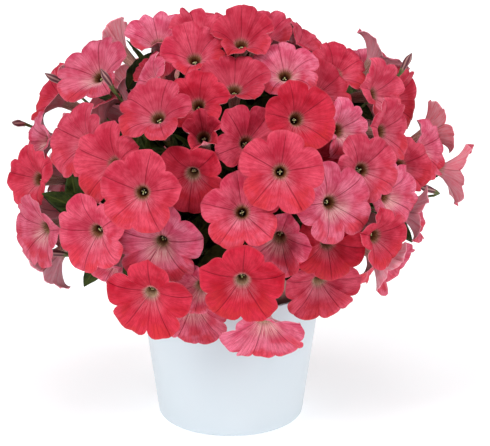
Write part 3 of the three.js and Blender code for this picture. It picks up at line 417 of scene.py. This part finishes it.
# ------------------------------------------------------------------ meshes
class Sheet:
    """Points in mm, faces and point attributes of one piece, gathered before it is made."""

    def __init__(self):
        self.points, self.faces, self.materials = [], [], []
        self.values = {}
        self.count = 0

    def tube(self, rings, material=0, **values):
        """Joins rings of points into a tube closed at both ends. values hold a triple for each point."""
        rings = np.asarray(rings, float)
        high, wide = rings.shape[:2]
        start = self.count
        self.points.append(rings.reshape(-1, 3))
        self.count += high * wide
        for key, value in values.items():
            self.values.setdefault(key, []).append(np.asarray(value, float).reshape(-1, 3))
        i, j = np.meshgrid(np.arange(high - 1), np.arange(wide), indexing="ij")
        here, above, k = i * wide, (i + 1) * wide, (j + 1) % wide
        quads = np.stack([here + j, here + k, above + k, above + j], -1).reshape(-1, 4)
        self.faces.extend((quads + start).tolist())
        self.materials.extend([material] * len(quads) if np.isscalar(material) else list(material))
        last = start + (high - 1) * wide
        self.faces.append(list(range(start, start + wide))[::-1])
        self.faces.append(list(range(last, last + wide)))
        self.materials.extend([self.materials[-1]] * 2)

    def piece(self, name, materials, slot, replaces=()):
        mesh = bpy.data.meshes.new(name)
        points = np.concatenate(self.points) * MM
        mesh.from_pydata(points.tolist(), [], self.faces)
        for key, parts in self.values.items():
            attribute = mesh.attributes.new(key, "FLOAT_VECTOR", "POINT")
            attribute.data.foreach_set("vector", np.concatenate(parts).astype(np.float32).ravel())
        for material in materials:
            mesh.materials.append(material)
        mesh.polygons.foreach_set("material_index", self.materials)
        mesh.polygons.foreach_set("use_smooth", [True] * len(self.faces))
        mesh.update()
        thing = add_object(name, mesh)
        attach(thing, "root")
        if replaces:
            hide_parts(*replaces)


def along_line(points, radii, sides):
    """Rings of a rod through points."""
    points = [np.asarray(p, float) for p in points]
    rings, u = [], None
    turns = np.linspace(0, 2 * math.pi, sides, endpoint=False)
    for i, (p, r) in enumerate(zip(points, radii)):
        way = unit(points[min(i + 1, len(points) - 1)] - points[max(i - 1, 0)])
        if u is None:
            u = UP if abs(way[2]) < 0.9 else np.array((1.0, 0, 0))
        u = unit(u - way * (u @ way))
        v = np.cross(way, u)
        rings.append(p + r * (np.outer(np.cos(turns), u) + np.outer(np.sin(turns), v)))
    return rings


def add_rod(sheet, points, radii, sides, material=0, seed=None):
    """A rod through points. With a seed it carries the values that a leaf's material reads."""
    rings = along_line(points, radii, sides)
    values = {}
    if seed is not None:
        turns = np.arange(sides) / sides
        values["blade"] = [[(t, share, seed) for t in turns] for share in np.linspace(0, 1, len(rings))]
    sheet.tube(rings, material, **values)


def lathe(sheet, profile, sides):
    """A body of revolution about the upright axis, from [radius, height] pairs that start and end on it."""
    turns = np.linspace(0, 2 * math.pi, sides, endpoint=False)
    sheet.tube([[(r * math.cos(a), r * math.sin(a), z) for a in turns] for r, z in profile[1:-1]])


# ------------------------------------------------------------------ measuring the solids
def welded(node):
    """A solid's points in mm and, for each, the points that share an edge with it."""
    mesh = bmesh.new()
    mesh.from_mesh(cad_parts[node].data)
    bmesh.ops.remove_doubles(mesh, verts=mesh.verts, dist=WELD * MM)
    mesh.verts.index_update()
    points = np.array([v.co for v in mesh.verts], float) / MM
    near = [[e.other_vert(v).index for e in v.link_edges] for v in mesh.verts]
    mesh.free()
    return points, near


def find_flowers(node):
    """Every flower of a spray: the solid's only points with five neighbours in a ring of a throat's size."""
    points, near = welded(node)
    arm = math.hypot(PETAL["pit"], PETAL["throat_r"])
    flowers = []
    for pit, ring in enumerate(near):
        if len(ring) != LOBES:
            continue
        reach = np.linalg.norm(points[ring] - points[pit], axis=1)
        if np.abs(reach - arm).max() > FIT["throat"]:
            continue
        mids = {m for t in ring for m in near[t]} - set(ring) - {pit}
        rims = {r for m in mids for r in near[m]} - mids - set(ring)
        flowers.append(measure_flower(points[pit], points[ring], points[sorted(rims)]))
    for flower in flowers:
        flower["main"] = reaches_crown(points, flower)
    return flowers


def in_frame(points, flower):
    """Points in a flower's own frame, whose third axis is the flower's, and how far they lie from that."""
    local = (points - flower["at"]) @ np.stack([flower["x"], flower["y"], flower["face"]]).T
    return local, np.hypot(local[:, 0], local[:, 1])


def measure_flower(pit, throat, rim):
    at = throat.mean(0)
    face = unit(at - pit)
    veins = [unit(at - t) for t in throat]
    y = max(veins, key=lambda v: (round(float(v[2]), 5), float(v[0])))
    flower = {"at": at, "x": np.cross(y, face), "y": y, "face": face}
    local, r = in_frame(rim, flower)
    angle = np.arctan2(local[:, 1], local[:, 0])
    notch = ((1 - np.cos(LOBES * (angle - math.pi / 2))) / 2) ** 3
    flower["half"] = float(np.median(r / (1 - PETAL["mid_notch"] * notch)))
    t = spread_share(flower, r)
    bend = (local[:, 2] - rise_of(t)) / t**2 - lobe_fold(angle)
    flower["bend"] = np.linalg.lstsq(sway_terms(angle), bend, rcond=None)[0]
    flower["base"] = at - face * (PETAL["tube"] + PETAL["calyx"])
    return flower


def reaches_crown(points, flower):
    """True if this flower's own stalk runs on to the crown, and False if it joins the other's."""
    near, margin, few = 1.7, 0.03, 3
    way = ROOT - flower["base"]
    share = (points - flower["base"]) @ way / (way @ way)
    off = np.linalg.norm(points - flower["base"] - np.outer(share, way), axis=1)
    ends = share[(off < near) & (share > margin) & (share < 1)]
    if len(ends) < few:
        return False
    flower["end"] = float(ends[ends > ends.max() - margin].mean())
    return True


def spread_share(flower, r):
    return np.maximum(0, (r - PETAL["throat_r"]) / (flower["half"] - PETAL["throat_r"]))


def rise_of(t):
    return PETAL["limb"] * (1 - np.maximum(0, 1 - t) ** PETAL["curve"])


def lobe_fold(angle):
    return -PETAL["lobe_rise"] * np.cos(LOBES * (angle - math.pi / 2))


def sway_terms(angle):
    """The slow waves that the bend of a limb is made of."""
    waves = [wave(k * angle) for k in (2, 3) for wave in (np.cos, np.sin)]
    return np.stack([np.ones_like(angle), *waves], 1)


# ------------------------------------------------------------------ flowers
# Angles of the points of half a lobe, in degrees from its vein: close together at the vein and at the notch.
HALF_LOBE = [0, 1.2, 3.5, 7, 12, 17.5, 23, 28, 32, 34.6]
LOBE = 360 / LOBES
WHOLE_LOBE = [*HALF_LOBE, LOBE / 2, *(LOBE - h for h in HALF_LOBE[:0:-1])]
AROUND = np.radians([90 + LOBE * k + a for k in range(LOBES) for a in WHOLE_LOBE])
ROUND = len(AROUND)
LIMB_RINGS = [0, 0.035, 0.08, 0.14, 0.22, 0.32, 0.43, 0.54, 0.65, 0.75, 0.84, 0.91, 0.96, 0.99, 1.0]
# Radius, depth and place on the way down of the rings inside the throat.
THROAT_RINGS = [
    (0.9, 16.0, -1.0), (1.9, 13.0, -0.93), (2.25, 9.5, -0.78), (2.45, 6.5, -0.62),
    (2.75, 4.3, -0.46), (3.25, 2.8, -0.31), (3.85, 1.5, -0.17), (4.35, 0.55, -0.06),
]
# Radius and depth of the rings outside the tube.
TUBE_RINGS = [(5.3, 2.6), (4.9, 5.5), (4.3, 11.0), (3.7, 17.0), (3.1, 22.0), (2.5, 25.4)]
PETAL_THICK = 0.45
STAR_HALF = 18.0  # a flower narrower than this is a star, cut deep between its lobes
# Ranges of a rim's notches and tips as shares of half its width, and of the notches' widths in degrees.
STAR = {"notch": (0.34, 0.42), "notch_wide": (13.0, 17.0), "tip": (0.03, 0.09)}
WIDE = {"notch": (0.07, 0.20), "notch_wide": (4.0, 9.0), "tip": (-0.015, 0.055)}
TIP_WIDE = math.radians(13.0)
# A sepal's half width at shares of its length.
SEPAL = [(0.0, 1.3), (0.3, 1.7), (0.7, 1.3), (1.0, 0.25)]


class Form:
    """One flower's own lobes, notches and tips, and the folds, curls and ruffles of its limb."""

    def __init__(self, flower, rng):
        star = flower["half"] < STAR_HALF
        cut = STAR if star else WIDE
        self.flower = flower
        self.length = pick(rng, -0.055, 0.012)
        self.notch = pick(rng, *cut["notch"])
        self.notch_wide = np.radians(pick(rng, *cut["notch_wide"]))
        self.tip = pick(rng, *cut["tip"])
        self.lift = pick(rng, -2.2, 2.2)
        self.fold = pick(rng, 1.3, 3.1)
        self.curl = pick(rng, -1.2, 3.2)
        self.pucker = pick(rng, -1.0, 1.0)

        def wave(k, low, high):
            """How often a wave goes round, its size and where it starts."""
            return k, rng.uniform(low, high), rng.uniform(0, 2 * math.pi)

        self.oval = wave(2, 0, 0.035)
        self.round = 0.0 if star else rng.uniform(0.045, 0.085)
        self.turn = [wave(1, 0.018, 0.081), wave(2, 0.014, 0.063)]
        # The tube bends up in a flower that looks level or down, and a little aside in any.
        face = flower["face"]
        upward = unit(UP - face * face[2] + flower["y"] * 1e-6)
        aside = flower["x"] * rng.uniform(-0.9, 0.9) + flower["y"] * rng.uniform(-0.9, 0.9)
        self.bend = upward * min(1.9, max(0.0, 0.5 - 6 * face[2])) + aside * 0.6
        self.waves = [wave(k, 0.10, 0.32) for k in (7, 9, 12, 16, 21)]
        self.edge = [wave(k, 0.002, 0.006) for k in (8, 11, 15, 23)]

    def lobes(self, angle):
        """The vein before each angle, the share of the way from it to the next, and that share eased."""
        turn = (angle - math.pi / 2) / math.radians(LOBE) + 1e-9
        below = np.floor(turn)
        share = turn - below
        return below.astype(int) % LOBES, share, share**2 * (3 - 2 * share)

    def between(self, values, angle):
        """A value of each lobe, changing smoothly from vein to vein."""
        first, _, smooth = self.lobes(angle)
        return values[first] * (1 - smooth) + values[(first + 1) % LOBES] * smooth

    def rim(self, angle):
        """How far the limb reaches from the flower's axis."""
        first, share, _ = self.lobes(angle)
        lobe = math.radians(LOBE)
        from_notch = np.abs(share - 0.5) * lobe
        from_vein = np.minimum(share, 1 - share) * lobe
        nearest = (first + (share > 0.5)) % LOBES
        notch = self.notch[first] * np.exp(-from_notch / self.notch_wide[first])
        tip = self.tip[nearest] * np.maximum(0, 1 - from_vein / TIP_WIDE) ** 1.6
        edge = sum(size * np.cos(k * angle + phase) for k, size, phase in [*self.edge, self.oval])
        shoulder = -self.round * (2 * from_vein / lobe) ** 2.6
        return self.flower["half"] * (1 + self.between(self.length, angle) + shoulder - notch + tip + edge)

    def bent(self, depth):
        """How far the middle of the throat lies from the flower's axis at a depth, as the tube bends."""
        return self.bend * min(1.0, depth / BEND_DEPTH)

    def turned(self, angle):
        """The angle at which a point lies, as the lobes are of unequal widths."""
        return angle + sum(size * np.sin(k * angle + phase) for k, size, phase in self.turn)

    def height(self, t, angle):
        """Height of the limb over the throat at a share of the way to its rim."""
        sway = sway_terms(angle) @ self.flower["bend"]
        _, share, _ = self.lobes(angle)
        crease = np.abs(np.sin(math.pi * share)) ** 0.55 * 2 - 1.2
        lobes = crease * self.between(self.fold, angle) + self.between(self.lift, angle)
        pucker = self.between(self.pucker, angle) * np.cos(4 * math.pi * share)
        ruffle = sum(size * np.cos(k * angle + phase) for k, size, phase in self.waves)
        curl = self.between(self.curl, angle) * max(0.0, (t - 0.7) / 0.3) ** 2
        return rise_of(t) + (sway + lobes) * t**2 + pucker * t**3 + ruffle * t**4 - curl


def add_flower(sheet, flower, rng, tone):
    """The throat, the limb with its thickness and the tube, from the pit out and back to the calyx."""
    form = Form(flower, rng)
    angle = AROUND
    rim = form.rim(angle)
    lies = form.turned(angle)
    rings, limb = [], []

    def ring(r, z, reach, shift=0.0):
        r, z = np.broadcast_to(r, angle.shape), np.broadcast_to(z, angle.shape)
        rings.append(
            flower["at"] + np.outer(r * np.cos(lies), flower["x"]) + np.outer(r * np.sin(lies), flower["y"])
            + np.outer(z, flower["face"]) + shift
        )
        limb.append(np.stack([np.cos(angle), np.sin(angle), np.full_like(angle, reach)], 1))

    def out_at(t):
        return PETAL["throat_r"] + (rim - PETAL["throat_r"]) * t

    for r, depth, reach in THROAT_RINGS:
        ring(r, -depth, reach, form.bent(depth))
    for t in LIMB_RINGS:
        ring(out_at(t), form.height(t, angle), t)
    upper = len(rings)
    for t in LIMB_RINGS[::-1][1:-2]:
        thick = PETAL_THICK * (1 + 1.5 * (1 - t) ** 3)
        ring(out_at(t) + 0.5 * (1 - t) ** 2, form.height(t, angle) - thick, t)
    for r, depth in TUBE_RINGS:
        ring(r, -depth, -depth / PETAL["tube"])
    face_or_back = np.repeat([0] * (upper - 1) + [1] * (len(rings) - upper), ROUND)
    # Painted light: a throat is painted lighter the further its flower faces down, for light from the floor
    # and sky that falls into it.
    throat_lit = min(1.0, max(0.0, -flower["face"][2] / LIT_THROAT_FALL))
    own = {"tone": tone, "throat": (throat_lit, 0, 0)}
    own = {key: np.broadcast_to(value, (len(rings) * ROUND, 3)) for key, value in own.items()}
    sheet.tube(rings, face_or_back, limb=limb, **own)
    return form


def tone_of(flower, rng):
    """How pink a flower is, how light, and a number of its own."""
    px, py = pixel_of(flower["at"])
    seen = flower["face"][1] < 0.2  # it doesn't turn its back to the camera

    def named(throats, share):
        drawn = rng.random() < share
        return any(math.hypot(px - x, py - y) < NAMED_WITHIN for x, y in throats) if seen else drawn

    pink, deep = named(PINK, PINK_SHARE), named(DEEP, DEEP_SHARE)
    kind = "pink" if pink else "deep" if deep else "coral"
    return rng.uniform(*PINKNESS[kind]), rng.uniform(0.80, 1.0), rng.uniform(0, 50)


def add_heart(sheet, flower, form, rng):
    """The stigma and the anthers that show in the throat."""
    face, anthers = flower["face"], 4
    spots = [(0.0, 0.0, -2.8, 0.65, 0)]  # across, up, forward, radius and material
    for i in range(anthers):
        a = 2 * math.pi * i / anthers + rng.uniform(-0.5, 0.5)
        out = rng.uniform(0.9, 1.5)
        spots.append((out * math.cos(a), out * math.sin(a), rng.uniform(-4.8, -2.8), 0.5, 1))
    for x, y, z, r, kind in spots:
        middle = flower["at"] + flower["x"] * x + flower["y"] * y + face * z + form.bent(-z)
        steps = np.linspace(-1, 1, 6)[1:-1]
        line = [middle - face * 9] + [middle + face * r * s for s in steps]
        add_rod(sheet, line, [0.25] + [r * math.sqrt(1 - s * s) for s in steps], 7, kind)


def add_stalk(sheet, flower, other, rng):
    """The calyx with its five sepals, and the stalk down to the crown or to the other flower's stalk."""
    at, face, base = flower["at"], flower["face"], flower["base"]
    tube_end = at - face * PETAL["tube"]
    cup = [base, base + face * 2, tube_end - face * 3.2, tube_end - face * 0.5, tube_end + face * 0.8]
    add_rod(sheet, cup, [STALK_R, 1.9, 3.4, 3.1, 2.7], 10)
    for i in range(LOBES):
        a = 2 * math.pi * i / LOBES + 0.3
        out = flower["x"] * math.cos(a) + flower["y"] * math.sin(a)
        side = np.cross(face, out)
        long = rng.uniform(7.5, 10.5)
        flare = rng.uniform(0.5, 2.2)
        root = tube_end - face * 3.5
        rings = []
        for share, wide in SEPAL:
            mid = root + face * long * share + out * (2.7 + flare * share**2)
            rings.append([mid + side * wide, mid + out * 0.45, mid - side * wide, mid - out * 0.25])
        sheet.tube(rings)
    if flower["main"]:
        end = base + (ROOT - base) * (flower["end"] + 0.05)
    else:
        end = other["base"] + (ROOT - other["base"]) * FORK
    span = end - base
    bend = min(0.2, 3.5 / np.linalg.norm(span))
    line = [base + face * 1.5, base - face * 0.6, base + span * bend, base + span * 0.5, end]
    add_rod(sheet, line, [STALK_R, STALK_R, STALK_R, STALK_R, STALK_R * 0.95], 6)


def build_flowers(face, back, green, anther):
    """Dresses every spray, and returns the flowers measured on them."""
    rng = random.Random(SEED)
    stalks, hearts = Sheet(), Sheet()
    found = []
    for node in sorted(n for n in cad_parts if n.startswith("spray_")):
        flowers = find_flowers(node)
        if not flowers:
            continue  # the solid stays as it is
        sheet = Sheet()
        for i, flower in enumerate(flowers):
            form = add_flower(sheet, flower, rng, tone_of(flower, rng))
            add_stalk(stalks, flower, flowers[1 - i] if len(flowers) > 1 else None, rng)
            add_heart(hearts, flower, form, rng)
        found += flowers
        sheet.piece(node.replace("spray", "flowers"), [face, back], "petals", [node])
    stalks.piece("stalks_and_calyces", [green], "foliage")
    hearts.piece("stigmas_and_anthers", anther, "petals")
    return found


# ------------------------------------------------------------------ leaves and buds
def new_leaf(at, along, normal, length, width):
    across = np.cross(normal, along)
    return {"at": at, "along": along, "normal": normal, "across": across, "length": length, "width": width}


def find_leaves(points, near):
    """Every leaf, from its tip: a point with four neighbours, two of which are a blade's thickness apart."""
    shortest, longest = LEAF["length"]
    leaves = []
    for tip, ring in enumerate(near):
        if len(ring) != 4:
            continue
        pairs = [(a, b) for a in ring for b in ring if a < b]
        gap, a, b = min((abs(np.linalg.norm(points[a] - points[b]) - LEAF["thick"]), a, b) for a, b in pairs)
        if gap > FIT["thick"]:
            continue
        edges = [points[k] for k in ring if k not in (a, b)]
        for top, low in ((a, b), (b, a)):
            normal = unit(points[top] - points[low])
            to_tip = points[tip] - points[top]
            rise = float(to_tip @ normal)
            along = to_tip - normal * rise
            length = float(np.linalg.norm(along)) / (1 - LEAF["station"])
            sag = -LEAF["droop"] * length * (1 - LEAF["station"] ** 2)
            if shortest < length < longest and abs(rise - sag) < FIT["sag"]:
                along = unit(along)
                at = points[tip] - along * length + normal * LEAF["droop"] * length
                width = float(np.linalg.norm(edges[0] - edges[1])) / outline(LEAF["station"])
                leaves.append(new_leaf(at, along, normal, length, width))
                break
    return leaves


def outline(share):
    """A leaf's width at a share of its length, as a share of its greatest."""
    return math.sin(math.pi * min(1, max(0, share)) ** 0.8) ** 0.85


def add_leaf(sheet, leaf, rng, steps=14, sides=8, stalk=True):
    """A blade with a folded midrib, raised between its side veins, and its stalk down to the crown."""
    seed = rng.uniform(0, 9)
    twist = rng.uniform(-0.25, 0.25)
    wave = rng.uniform(0.2, 0.6)
    rings, marks = [], []
    for i in range(steps + 1):
        share = min(0.995, max(0.01, i / steps))
        half = outline(share) * leaf["width"] / 2
        row, under, mark = [], [], []
        for j in range(sides + 1):
            side = j / sides * 2 - 1
            x = side * half
            edge = wave * math.sin(share * EDGE_WAVES["often"] + seed) * side**2 * half * EDGE_WAVES["size"]
            slant = share - abs(side) * SIDE_FOLDS["slant"]
            h = LEAF["fold"] * abs(x) - LEAF["droop"] * leaf["length"] * share**2
            h += edge + twist * x * share * 0.5
            h += SIDE_FOLDS["size"] * math.sin(slant * SIDE_FOLDS["often"]) * abs(side)
            p = leaf["at"] + leaf["along"] * share * leaf["length"] + leaf["across"] * x + leaf["normal"] * h
            row.append(p)
            under.append(p - leaf["normal"] * BLADE_THICK)
            mark.append((share, side, seed))
        rings.append(row + under[::-1])
        marks.append(mark + mark[::-1])
    sheet.tube(rings, blade=marks)
    foot = leaf["at"] + leaf["along"] * 3
    if stalk and not inside_crown(foot):
        end = down_to_crown(leaf["at"])
        add_rod(sheet, [foot, leaf["at"], (leaf["at"] + end) / 2, end], [0.8, 1.2, 1.3, 1.4], 6, seed=seed)


def inside_crown(p):
    x, y, z = p - np.array(CROWN["at"])
    tall = CROWN["up"] if z > 0 else CROWN["down"]
    return (math.hypot(x, y) / CROWN["r"]) ** 2 + (z / tall) ** 2 < 1


def down_to_crown(start):
    """The first point in the crown on the way from a start to the root, in steps of a millimetre."""
    way, end = unit(ROOT - start), start.copy()
    while not inside_crown(end):
        end += way
    return end


def find_buds(points):
    """Every bud: its tip's ring of points, and the ring of its widest part."""
    buds = []
    left = set(range(len(points)))
    for i in range(len(points)):
        if i not in left:
            continue
        close = np.flatnonzero(np.linalg.norm(points - points[i], axis=1) < 2 * BUD["tip_r"])
        if len(close) != BUD["sides"]:
            continue
        tip = points[close].mean(0)
        if np.abs(np.linalg.norm(points[close] - tip, axis=1) - BUD["tip_r"]).max() > FIT["tip"]:
            continue
        left -= set(close.tolist())
        away = np.linalg.norm(points - tip, axis=1)
        belly = points[(away > BUD["belly"][0]) & (away < BUD["belly"][1])]
        if len(belly) == BUD["sides"]:
            buds.append({"tip": tip, "along": unit(tip - belly.mean(0))})
    return buds


def add_bud(skin, green, bud, rng):
    """A twisted, furled bud in its calyx, on its stalk."""
    tip, along = bud["tip"], bud["along"]
    tail = tip - along * FINE_BUD["length"]
    sides = FINE_BUD["sides"]
    turns = np.arange(sides) / sides
    shares = np.linspace(0.0, 1.0, len(FINE_BUD_RADII))
    middles = [tail + along * FINE_BUD["length"] * s for s in shares]
    seed = rng.uniform(0, 9)
    rings, marks = [], []
    for ring, middle, share in zip(along_line(middles, FINE_BUD_RADII, sides), middles, shares):
        furl = 1 + FINE_BUD["furl"] * np.sin(2 * math.pi * turns * LOBES + share * FINE_BUD["twist"])
        rings.append(middle + (ring - middle) * furl[:, None])
        marks.append([(t, share, seed) for t in turns])
    skin.tube(rings, blade=marks)
    bend = tail - along * FINE_BUD["neck"]
    bend = bend + (ROOT - bend) * FINE_BUD["nod"]
    end = down_to_crown(bend)
    line = [tail + along * 5, tail + along * 1.5, tail - along * 1.5, bend, (bend + end) / 2, end]
    add_rod(green, line, [1.9, 2.0, 1.3, 1.0, 1.1, 1.3], 7)


def in_front(points, flowers):
    """True if any point stands in a flower's limb or before it, where it would hide the petals."""
    for flower in flowers:
        local, r = in_frame(points, flower)
        over = local[:, 2] - rise_of(np.minimum(1, spread_share(flower, r)))
        beside = r < flower["half"] * CLEAR["round"]
        if np.any(beside & (over > -CLEAR["below"]) & (over < CLEAR["before"])):
            return True
    return False


def small_leaves(flowers, rng):
    """Small leaves on the flowers' stalks, below and between the petals."""
    leaves = []
    for flower in flowers:
        way = ROOT - flower["base"]
        out = unit(-way)
        for _ in range(LITTLE["to_a_stalk"]):
            for _ in range(LITTLE["tries"]):
                at = flower["base"] + way * rng.uniform(0.0, LITTLE["down_stalk"])
                along = unit(pick(rng, -1, 1, 3) + out * LEAN["out"] + UP * LEAN["up"])
                length = rng.uniform(*LITTLE["length"])
                normal = pick(rng, -LEAN["sides"], LEAN["sides"], 3) + UP
                normal = unit(normal - along * (normal @ along))
                blade = at + np.outer(np.linspace(0.15, 1.0, 7), along) * length
                side = np.cross(normal, along) * length * 0.2
                blade = np.concatenate([blade, blade + side, blade - side])
                if along @ out > LEAN["least"] and not in_front(blade, flowers):
                    width = length * rng.uniform(*LITTLE["slim"])
                    leaves.append(new_leaf(at, along, normal, length, width))
                    break
    return leaves


def build_foliage(leaf, crown_green_and_shade, stem, skin, flowers):
    rng = random.Random(SEED + 1)
    points, near = welded("foliage")
    blades, crown, skins, stems, little = Sheet(), Sheet(), Sheet(), Sheet(), Sheet()
    for one in find_leaves(points, near):
        add_leaf(blades, one, rng)
    for one in small_leaves(flowers, rng):
        add_leaf(little, one, rng, steps=9, sides=4, stalk=False)
    for one in find_buds(points):
        add_bud(skins, stems, one, rng)
    add_crown(crown, rng)
    blades.piece("leaves", [leaf], "foliage")
    little.piece("small_leaves", [leaf], "foliage")
    crown.piece("crown", [crown_green_and_shade], "foliage", ["foliage"])
    skins.piece("buds", [skin], "petals")
    stems.piece("bud_stalks", [stem], "foliage")


def add_crown(sheet, rng):
    """The dense heart of the bush, lumpy with the bases of its shoots, and its trunk."""
    wide, high = 96, 48
    x, y, z = CROWN["at"]
    rings, marks = [], []
    lumps = range(CROWN_LUMPS["count"])
    phases = [(rng.randint(4, 13), rng.randint(3, 9), rng.uniform(0, 6.3)) for _ in lumps]
    for i in range(1, high):
        tall = math.pi * i / high
        rise = -math.cos(tall)
        reach = CROWN["up"] if rise > 0 else CROWN["down"]
        row, mark = [], []
        for j in range(wide):
            turn = 2 * math.pi * j / wide
            lump = sum(math.sin(a * turn + p) * math.sin(b * tall * 2 + p) for a, b, p in phases)
            r = CROWN_LUMPS["inset"] + CROWN_LUMPS["size"] * lump
            flat = math.sin(tall) * CROWN["r"] * r
            row.append((x + flat * math.cos(turn), y + flat * math.sin(turn), z + rise * reach * r))
            mark.append((i / high, math.sin(turn * 9), lump))
        rings.append(row)
        marks.append(mark)
    sheet.tube(rings, blade=marks)
    trunk = [(0, 0, 85), (0.8, 0.3, 100), (-0.5, 0.2, 118), (0, 0, 135), (0, 0, 150)]
    add_rod(sheet, trunk, [5.2, 5.6, 5.4, 5.0, 5.4], 14, seed=0.5)


# ------------------------------------------------------------------ pots and soil
def arc(centre_r, centre_z, radius, start, stop, steps):
    """Points of an arc, from a start to a stop angle in degrees, 0 outwards and 90 up."""
    turns = np.radians(np.linspace(start, stop, steps))
    return [(centre_r + radius * math.cos(a), centre_z + radius * math.sin(a)) for a in turns]


def build_cover_pot(material):
    _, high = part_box("cover_pot")
    rim_r, height = high.x / MM, high.z / MM
    base_r, wall, edge_r = 56.5, 2.2, 6.5
    slope = (rim_r - base_r) / height
    lean = math.degrees(math.atan(slope))

    def outer(z):
        return base_r + slope * z

    profile = [(0, 0), *arc(outer(edge_r) - edge_r, edge_r, edge_r, -90, -lean, 9)]
    profile += [(outer(z), z) for z in (20, 40, 60, 80, 95, height - 2)]
    profile += arc(rim_r - wall / 2, height - wall / 2, wall / 2, 0, 180, 9)
    profile += [(outer(z) - wall, z) for z in (height - 4, 70, 30, 8)]
    profile += [(outer(3) - wall - 2, 3), (0, 3)]
    sheet = Sheet()
    lathe(sheet, profile, 128)
    sheet.piece("white_cover_pot", [material], "cover_pot", ["cover_pot"])


def build_grower_pot(material):
    low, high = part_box("grower_pot")
    bottom, top = low.z / MM, high.z / MM
    rim_r, base_r, wall, floor, collar, out = high.x / MM, 50.0, 1.3, 2.0, 14.0, 1.8
    step = top - collar

    def outer(z):
        return base_r + (rim_r - out - base_r) * (z - bottom) / (top - bottom)

    profile = [(0, bottom), (outer(bottom) - 1, bottom), (outer(bottom), bottom + 1), (outer(60), 60)]
    profile += [(outer(step), step), (outer(step) + out * 0.8, step + 0.3), (outer(step) + out, step + 1)]
    profile += arc(rim_r - wall / 2, top - wall / 2, wall / 2, 0, 180, 7)
    profile += [(outer(step) - wall + 0.5, step), (outer(60) - wall, 60)]
    profile += [(outer(bottom) - wall, bottom + floor), (0, bottom + floor)]
    sheet = Sheet()
    lathe(sheet, profile, 96)
    sheet.piece("brown_grower_pot", [material], "grower_pot", ["grower_pot"])


def build_soil(material):
    low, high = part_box("soil")
    rng = random.Random(SEED + 2)
    radius, top, bottom, sides = 60.5, high.z / MM, low.z / MM, 120
    lumps = range(SOIL_LUMPS["count"])
    phases = [(rng.randint(5, 40), rng.uniform(0.1, 0.9), rng.uniform(0, 6.3)) for _ in lumps]
    rings = []
    for r in [5.4, *np.linspace(8, radius, 26)]:
        level = top - SOIL_LUMPS["below_top"] - SOIL_LUMPS["fall"] * (r / radius) ** 3
        row = []
        for a in np.linspace(0, 2 * math.pi, sides, endpoint=False):
            bump = sum(math.sin(k * a + f * r + p) for k, f, p in phases) * SOIL_LUMPS["size"]
            row.append((r * math.cos(a), r * math.sin(a), level + bump))
        rings.append(row)
    rings.append([(0.84 * x, 0.84 * y, bottom) for x, y, _ in rings[-1]])
    sheet = Sheet()
    sheet.tube(rings[::-1])
    sheet.piece("compost", [material], "soil", ["soil"])


def build_floor():
    mesh = bpy.data.meshes.new("floor")
    half = FLOOR["half_in_metres"]
    corners = [(-half, -half, 0), (half, -half, 0), (half, half, 0), (-half, half, 0)]
    mesh.from_pydata(corners, [], [(0, 1, 2, 3)])
    s = Shader("pale_floor", Roughness=0.7, Specular_IOR_Level=0.2, Emission_Strength=FLOOR["glow"])
    cloud = s.noise(s.place(), 3, 2)
    mesh.materials.append(s.finish(s.mix(cloud, (0.88, 0.89, 0.9, 1), (0.92, 0.925, 0.93, 1))))
    add_object("floor", mesh)


def build_all():
    look_from()
    studio()
    build_floor()
    green = stem_green()
    stigma = speckled("stigma_green", (0.34, 0.38, 0.10), (0.55, 0.56, 0.22), 900, 0.4, 0.0002)
    anther = speckled("anther_cream", (0.62, 0.52, 0.28), (0.85, 0.78, 0.52), 1200, 0.6, 0.0002)
    flowers = build_flowers(petal_face(), petal_back(), green, [stigma, anther])
    leaf = leaf_green("leaf_green", (0.010, 0.020, 0.002), (0.040, 0.062, 0.009))
    # The crown is darkened to near black: painted shade for the shaded inside of the bush.
    dark = leaf_green("crown_green_painted_shade", (0.005, 0.003, 0.001), (0.014, 0.010, 0.003))
    build_foliage(leaf, dark, green, bud_skin(), flowers)
    build_cover_pot(glazed_white())
    build_grower_pot(speckled("grower_brown", (0.40, 0.185, 0.165), (0.47, 0.235, 0.21), 60, 0.5, 0.0002))
    build_soil(speckled("compost_brown", (0.008, 0.005, 0.003), (0.05, 0.032, 0.02), 300, 0.95, 0.002))


build_all()
